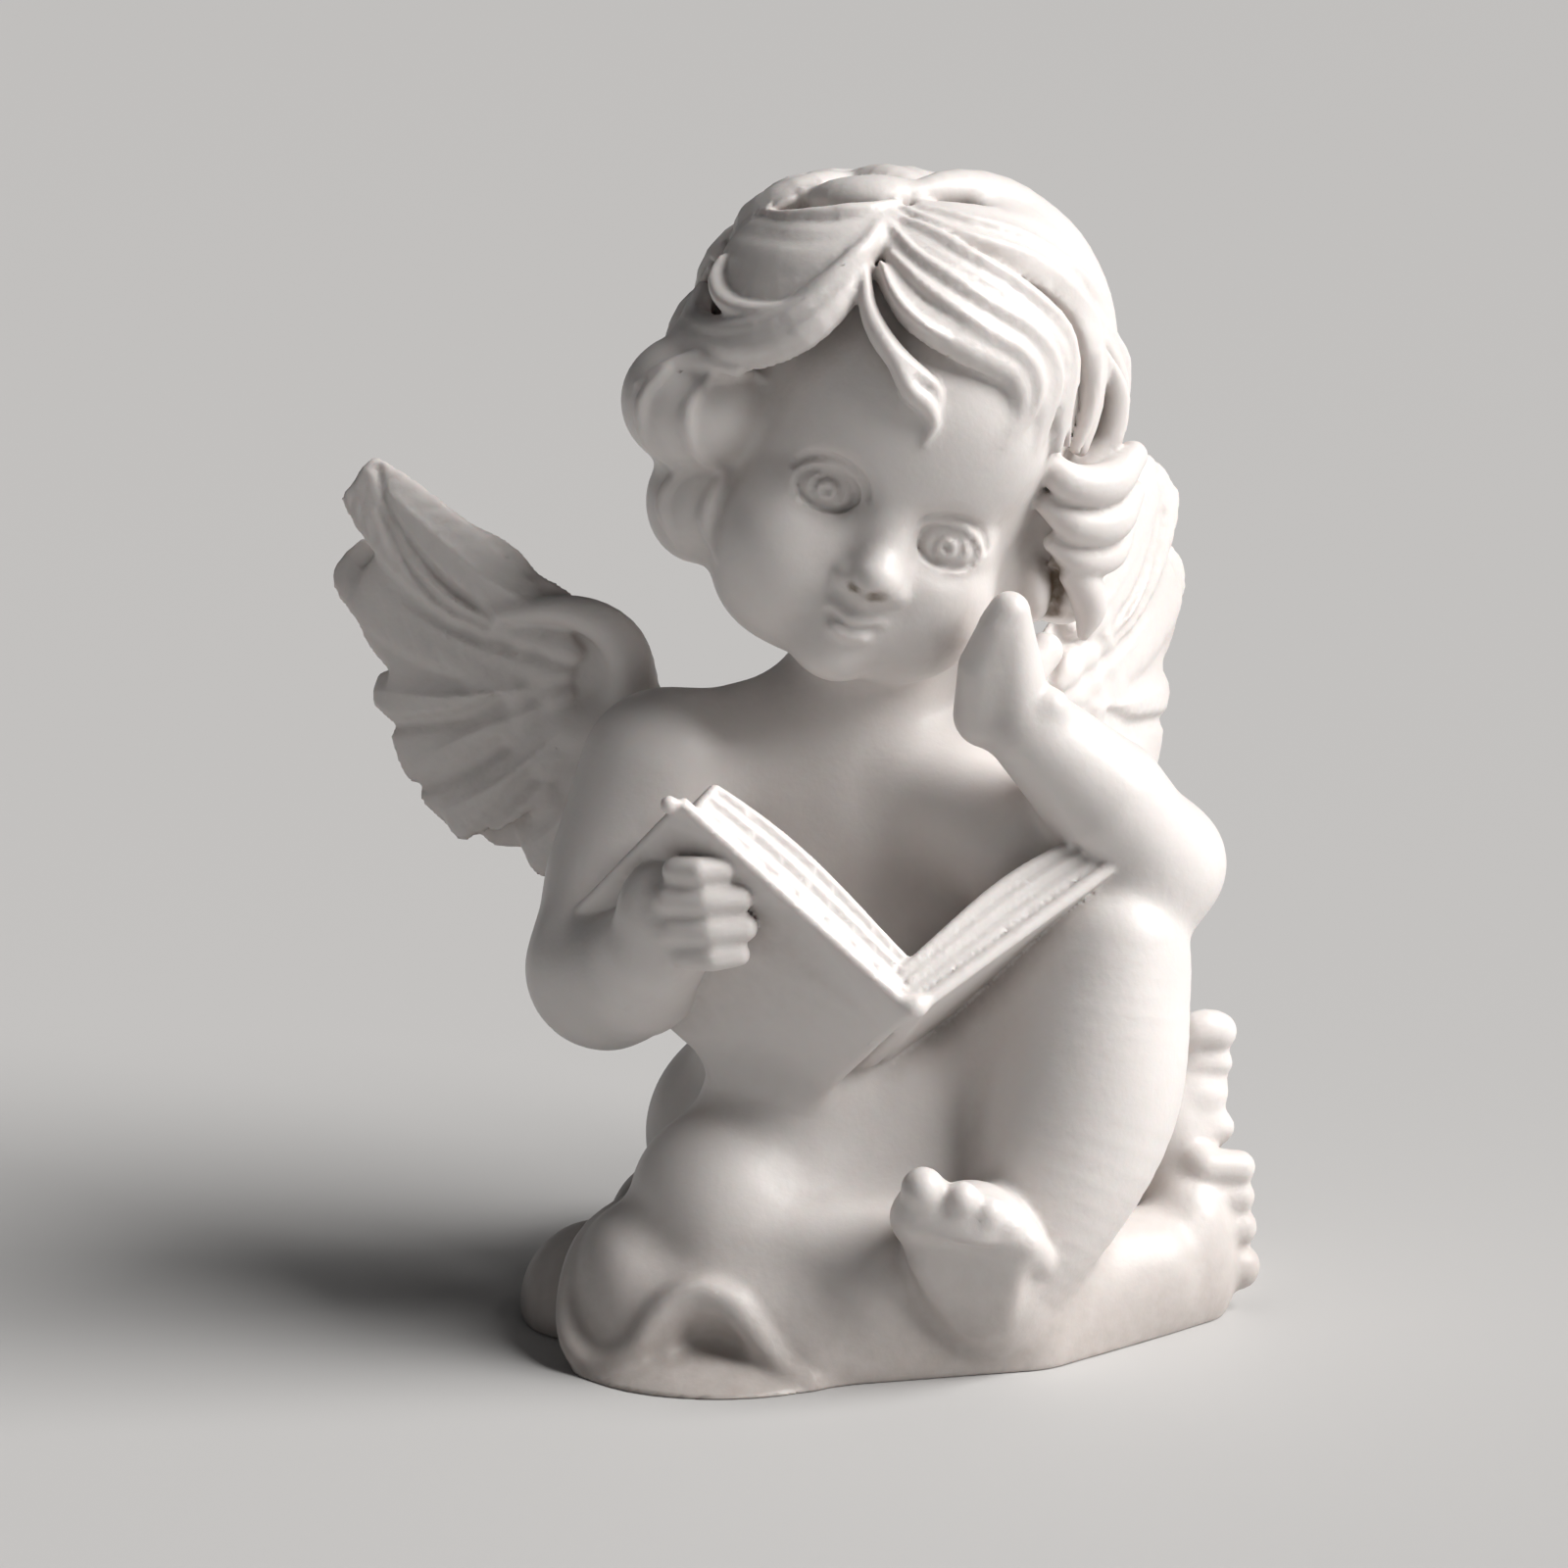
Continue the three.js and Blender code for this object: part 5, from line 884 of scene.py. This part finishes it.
def plaster_tone_and_shade_group():
    """Colour, roughness and height for hand-finished white plaster: random tone, brown chips and dirt, and
    painted shade in the creases, towards the bottom and in the gap behind the ear lobe.
    """
    group = bpy.data.node_groups.new("plaster_tone_and_painted_shade", "ShaderNodeTree")
    colour, number = "NodeSocketColor", "NodeSocketFloat"
    inputs = [("Plaster", colour, (*PLASTER, 1)), ("Shaded", colour, (*SHADED_PLASTER, 1)),
              ("Dirt and shade", colour, (*DIRT_AND_SHADE, 1)), ("Crease shade share", number, CREASE_SHADE_SHARE),
              ("Cloud size", number, CLOUD_SIZE), ("Pit size", number, PIT_SIZE),
              ("Foot shade height", number, FOOT_SHADE_HEIGHT)]
    for name, kind, value in inputs:
        group.interface.new_socket(name, in_out="INPUT", socket_type=kind).default_value = value
    for name, kind in (("Color", colour), ("Roughness", number), ("Height", number)):
        group.interface.new_socket(name, in_out="OUTPUT", socket_type=kind)
    nodes, link = group.nodes, group.links.new
    given, made = nodes.new("NodeGroupInput"), nodes.new("NodeGroupOutput")
    place = nodes.new("ShaderNodeTexCoord").outputs["Object"]

    def maths(operation, a, b=0.0, clamp=False):
        return math_node(group, operation, a, b, clamp)

    def noise(size, detail):
        node = nodes.new("ShaderNodeTexNoise")
        node.inputs["Detail"].default_value = detail
        link(place, node.inputs["Vector"])
        link(maths("DIVIDE", 1.0, size), node.inputs["Scale"])
        return node.outputs["Fac"]

    def attribute(name):
        node = nodes.new("ShaderNodeAttribute")
        node.attribute_name = name
        return node.outputs["Fac"]

    def mixed(share, a, b):
        node = nodes.new("ShaderNodeMix")
        node.data_type = "RGBA"
        link(share, node.inputs["Factor"])
        link(a, node.inputs["A"])
        link(b, node.inputs["B"])
        return node.outputs["Result"]

    clouds = noise(given.outputs["Cloud size"], 4.0)
    crumbs = noise(maths("MULTIPLY", given.outputs["Cloud size"], CRUMB_SHARE), 3.0)
    pits = noise(given.outputs["Pit size"], 2.0)
    depth = nodes.new("ShaderNodeSeparateXYZ")
    link(place, depth.inputs[0])
    # Towards the floor the plaster darkens: painted shade, with a little brown dirt mixed in lowest down.
    foot_share = maths("DIVIDE", depth.outputs["Z"], given.outputs["Foot shade height"])
    foot = maths("SUBTRACT", 1.0, foot_share, clamp=True)
    # The creases darken toward the shaded plaster: painted shade, broken up by the crumbs.
    crease_shade_amount = maths("MULTIPLY", attribute("crease_shade"), given.outputs["Crease shade share"])
    broken_crease_shade = maths("MULTIPLY", crease_shade_amount, maths("ADD", BROKEN_LEAST, maths("MULTIPLY", crumbs, BROKEN_CRUMBS)))
    cloudy = maths("MULTIPLY", maths("SUBTRACT", clouds, CLOUD_LEVEL), CLOUD_TONE, clamp=True)
    darkened = maths("ADD", cloudy, maths("ADD", broken_crease_shade, maths("MULTIPLY", foot, FOOT_SHADE)), clamp=True)
    toned = mixed(darkened, given.outputs["Plaster"], given.outputs["Shaded"])
    # Brown on the nose chips, and painted shade in the gap behind the ear lobe.
    stains_and_gap_shade = maths("MULTIPLY", attribute("stain_and_gap_shade"), maths("ADD", STAIN_AND_SHADE_LEAST, crumbs))
    foot_dirt_and_shade = maths("MULTIPLY", maths("MULTIPLY", foot, foot), maths("MULTIPLY", crumbs, FOOT_DIRT_AND_SHADE))
    dirt_and_shade_share = maths("ADD", stains_and_gap_shade, foot_dirt_and_shade, clamp=True)
    link(mixed(dirt_and_shade_share, toned, given.outputs["Dirt and shade"]), made.inputs["Color"])
    rough = maths("ADD", ROUGH_LEAST, maths("MULTIPLY", clouds, ROUGH_CLOUDS))
    link(maths("ADD", rough, maths("MULTIPLY", broken_crease_shade, ROUGH_CREASE), clamp=True), made.inputs["Roughness"])
    height = maths("ADD", maths("MULTIPLY", pits, PIT_HEIGHT), maths("MULTIPLY", crumbs, CRUMB_HEIGHT))
    link(height, made.inputs["Height"])
    return group


resin_plaster = bpy.data.materials.new("resin_plaster")
resin_plaster.use_nodes = True
plaster_nodes, plaster_links = resin_plaster.node_tree.nodes, resin_plaster.node_tree.links
plaster_shader = plaster_nodes["Principled BSDF"]
for socket_name, value in COAT_AND_DEPTH.items():
    plaster_shader.inputs[socket_name].default_value = value
plaster_and_shade = plaster_nodes.new("ShaderNodeGroup")
plaster_and_shade.node_tree = plaster_tone_and_shade_group()
surface_bump = plaster_nodes.new("ShaderNodeBump")
surface_bump.inputs["Strength"].default_value = BUMP_STRENGTH
surface_bump.inputs["Distance"].default_value = BUMP_DEPTH
plaster_links.new(plaster_and_shade.outputs["Color"], plaster_shader.inputs["Base Color"])
plaster_links.new(plaster_and_shade.outputs["Roughness"], plaster_shader.inputs["Roughness"])
plaster_links.new(plaster_and_shade.outputs["Height"], surface_bump.inputs["Height"])
plaster_links.new(surface_bump.outputs["Normal"], plaster_shader.inputs["Normal"])

# The hand of the maker.
# The master was shaped and rubbed down by hand, so no face is quite true. A slow ripple moves
# the skin in and out along its normals, fading to nothing at the flat underside.
RIPPLE_SIZE, RIPPLE_DEPTH, RIPPLE_SEED, RIPPLE_STILL = 0.0045, 0.00009, 7.0, 0.72
FLAT_BELOW, FREE_ABOVE = 0.0008, 0.004


def hand_ripple_tree():
    """A Geometry Nodes tree that ripples the skin along its normals and gives it the casting's material."""
    tree = bpy.data.node_groups.new("hand_ripple", "GeometryNodeTree")
    tree.interface.new_socket("Geometry", in_out="INPUT", socket_type="NodeSocketGeometry")
    for name in ("Ripple size", "Ripple depth", "Seed", "Flat below", "Free above"):
        tree.interface.new_socket(name, in_out="INPUT", socket_type="NodeSocketFloat")
    tree.interface.new_socket("Material", in_out="INPUT", socket_type="NodeSocketMaterial")
    tree.interface.new_socket("Geometry", in_out="OUTPUT", socket_type="NodeSocketGeometry")
    nodes, link = tree.nodes, tree.links.new
    given, made = nodes.new("NodeGroupInput"), nodes.new("NodeGroupOutput")
    place = nodes.new("GeometryNodeInputPosition").outputs[0]
    ripple = nodes.new("ShaderNodeTexNoise")
    ripple.noise_dimensions = "4D"
    ripple.inputs["Detail"].default_value = 2.0
    link(math_node(tree, "DIVIDE", 1.0, given.outputs["Ripple size"]), ripple.inputs["Scale"])
    link(given.outputs["Seed"], ripple.inputs["W"])
    link(place, ripple.inputs["Vector"])
    height = nodes.new("ShaderNodeSeparateXYZ")
    link(place, height.inputs[0])
    fade = nodes.new("ShaderNodeMapRange")
    link(height.outputs["Z"], fade.inputs["Value"])
    link(given.outputs["Flat below"], fade.inputs["From Min"])
    link(given.outputs["Free above"], fade.inputs["From Max"])
    shift = math_node(tree, "SUBTRACT", ripple.outputs["Fac"], RIPPLE_STILL)
    deep = math_node(tree, "MULTIPLY", shift, given.outputs["Ripple depth"])
    along = nodes.new("ShaderNodeVectorMath")
    along.operation = "SCALE"
    link(nodes.new("GeometryNodeInputNormal").outputs[0], along.inputs[0])
    link(math_node(tree, "MULTIPLY", deep, fade.outputs["Result"]), along.inputs["Scale"])
    moved = nodes.new("GeometryNodeSetPosition")
    link(given.outputs["Geometry"], moved.inputs["Geometry"])
    link(along.outputs[0], moved.inputs["Offset"])
    real = nodes.new("GeometryNodeRealizeInstances")
    link(moved.outputs[0], real.inputs[0])
    dressed = nodes.new("GeometryNodeSetMaterial")
    link(real.outputs[0], dressed.inputs["Geometry"])
    link(given.outputs["Material"], dressed.inputs["Material"])
    link(dressed.outputs[0], made.inputs[0])
    return tree


ripple_modifier = casting.modifiers.new("hand_ripple", "NODES")
ripple_modifier.node_group = hand_ripple_tree()
ripple_values = {"Ripple size": RIPPLE_SIZE, "Ripple depth": RIPPLE_DEPTH, "Seed": RIPPLE_SEED,
                 "Flat below": FLAT_BELOW, "Free above": FREE_ABOVE, "Material": resin_plaster}
for socket in ripple_modifier.node_group.interface.items_tree:
    if socket.in_out == "INPUT" and socket.name in ripple_values:
        ripple_modifier[socket.identifier] = ripple_values[socket.name]
work_in(casting, ripple_modifier)
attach(casting, "root")
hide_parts("cherub_figurine")

# The setting.
# A pale floor, one large soft light high on the right and a weak one on the left, with the
# camera low in front as in the photograph.
FLOOR_HALF, FLOOR_CORNERS = 4.0, ((-1, -1), (1, -1), (1, 1), (-1, 1))
FLOOR_TONE, FLOOR_ROUGHNESS = (0.56, 0.555, 0.55), 0.7
KEY_WAY, KEY_POWER, KEY_WIDTH, KEY_TONE = (0.74, -0.16, 0.65), 4.7, math.radians(42), (1.0, 0.985, 0.97)
LEFT_PLACE, LEFT_SIZE, LEFT_POWER, LEFT_TONE = (-0.9, -0.9, 0.5), 0.8, 0.14, (0.97, 0.98, 1.0)
ROOM_TONE, ROOM_POWER = (0.93, 0.93, 0.95, 1), 0.05
VIEW_TARGET = Vector((-0.0105, 0.0, 0.055))
VIEW_HEIGHT, VIEW_DISTANCE, VIEW_LENS, SENSOR = math.radians(12), 0.6, 135.0, 36.0

floor_mesh = bpy.data.meshes.new("floor")
floor_mesh.from_pydata([(x * FLOOR_HALF, y * FLOOR_HALF, 0.0) for x, y in FLOOR_CORNERS], [], [(0, 1, 2, 3)])
floor = put("floor", floor_mesh)
floor_finish = bpy.data.materials.new("pale_floor")
floor_finish.use_nodes = True
floor_shader = floor_finish.node_tree.nodes["Principled BSDF"]
floor_shader.inputs["Base Color"].default_value = (*FLOOR_TONE, 1)
floor_shader.inputs["Roughness"].default_value = FLOOR_ROUGHNESS
floor_mesh.materials.append(floor_finish)

key = bpy.data.lights.new("key_light", "SUN")
key.energy, key.angle, key.color = KEY_POWER, KEY_WIDTH, KEY_TONE
put("key_light", key).rotation_euler = Vector(KEY_WAY).to_track_quat("Z", "Y").to_euler()
left = bpy.data.lights.new("left_light", "AREA")
left.shape, left.size, left.energy, left.color = "DISK", LEFT_SIZE, LEFT_POWER, LEFT_TONE
left_holder = put("left_light", left)
left_holder.location = LEFT_PLACE
left_holder.rotation_euler = (Vector(LEFT_PLACE) - VIEW_TARGET).to_track_quat("Z", "Y").to_euler()
sky = bpy.data.worlds.new("pale_room")
sky.use_nodes = True
sky.node_tree.nodes["Background"].inputs["Color"].default_value = ROOM_TONE
sky.node_tree.nodes["Background"].inputs["Strength"].default_value = ROOM_POWER
bpy.context.scene.world = sky
bpy.context.scene.view_settings.view_transform = "Standard"

lens = bpy.data.cameras.new("photo_camera")
lens.lens, lens.sensor_width = VIEW_LENS, SENSOR
camera = put("photo_camera", lens)
camera.location = VIEW_TARGET + VIEW_DISTANCE * Vector((0, -math.cos(VIEW_HEIGHT), math.sin(VIEW_HEIGHT)))
camera.rotation_euler = (math.pi / 2 - VIEW_HEIGHT, 0, 0)
bpy.context.scene.camera = camera
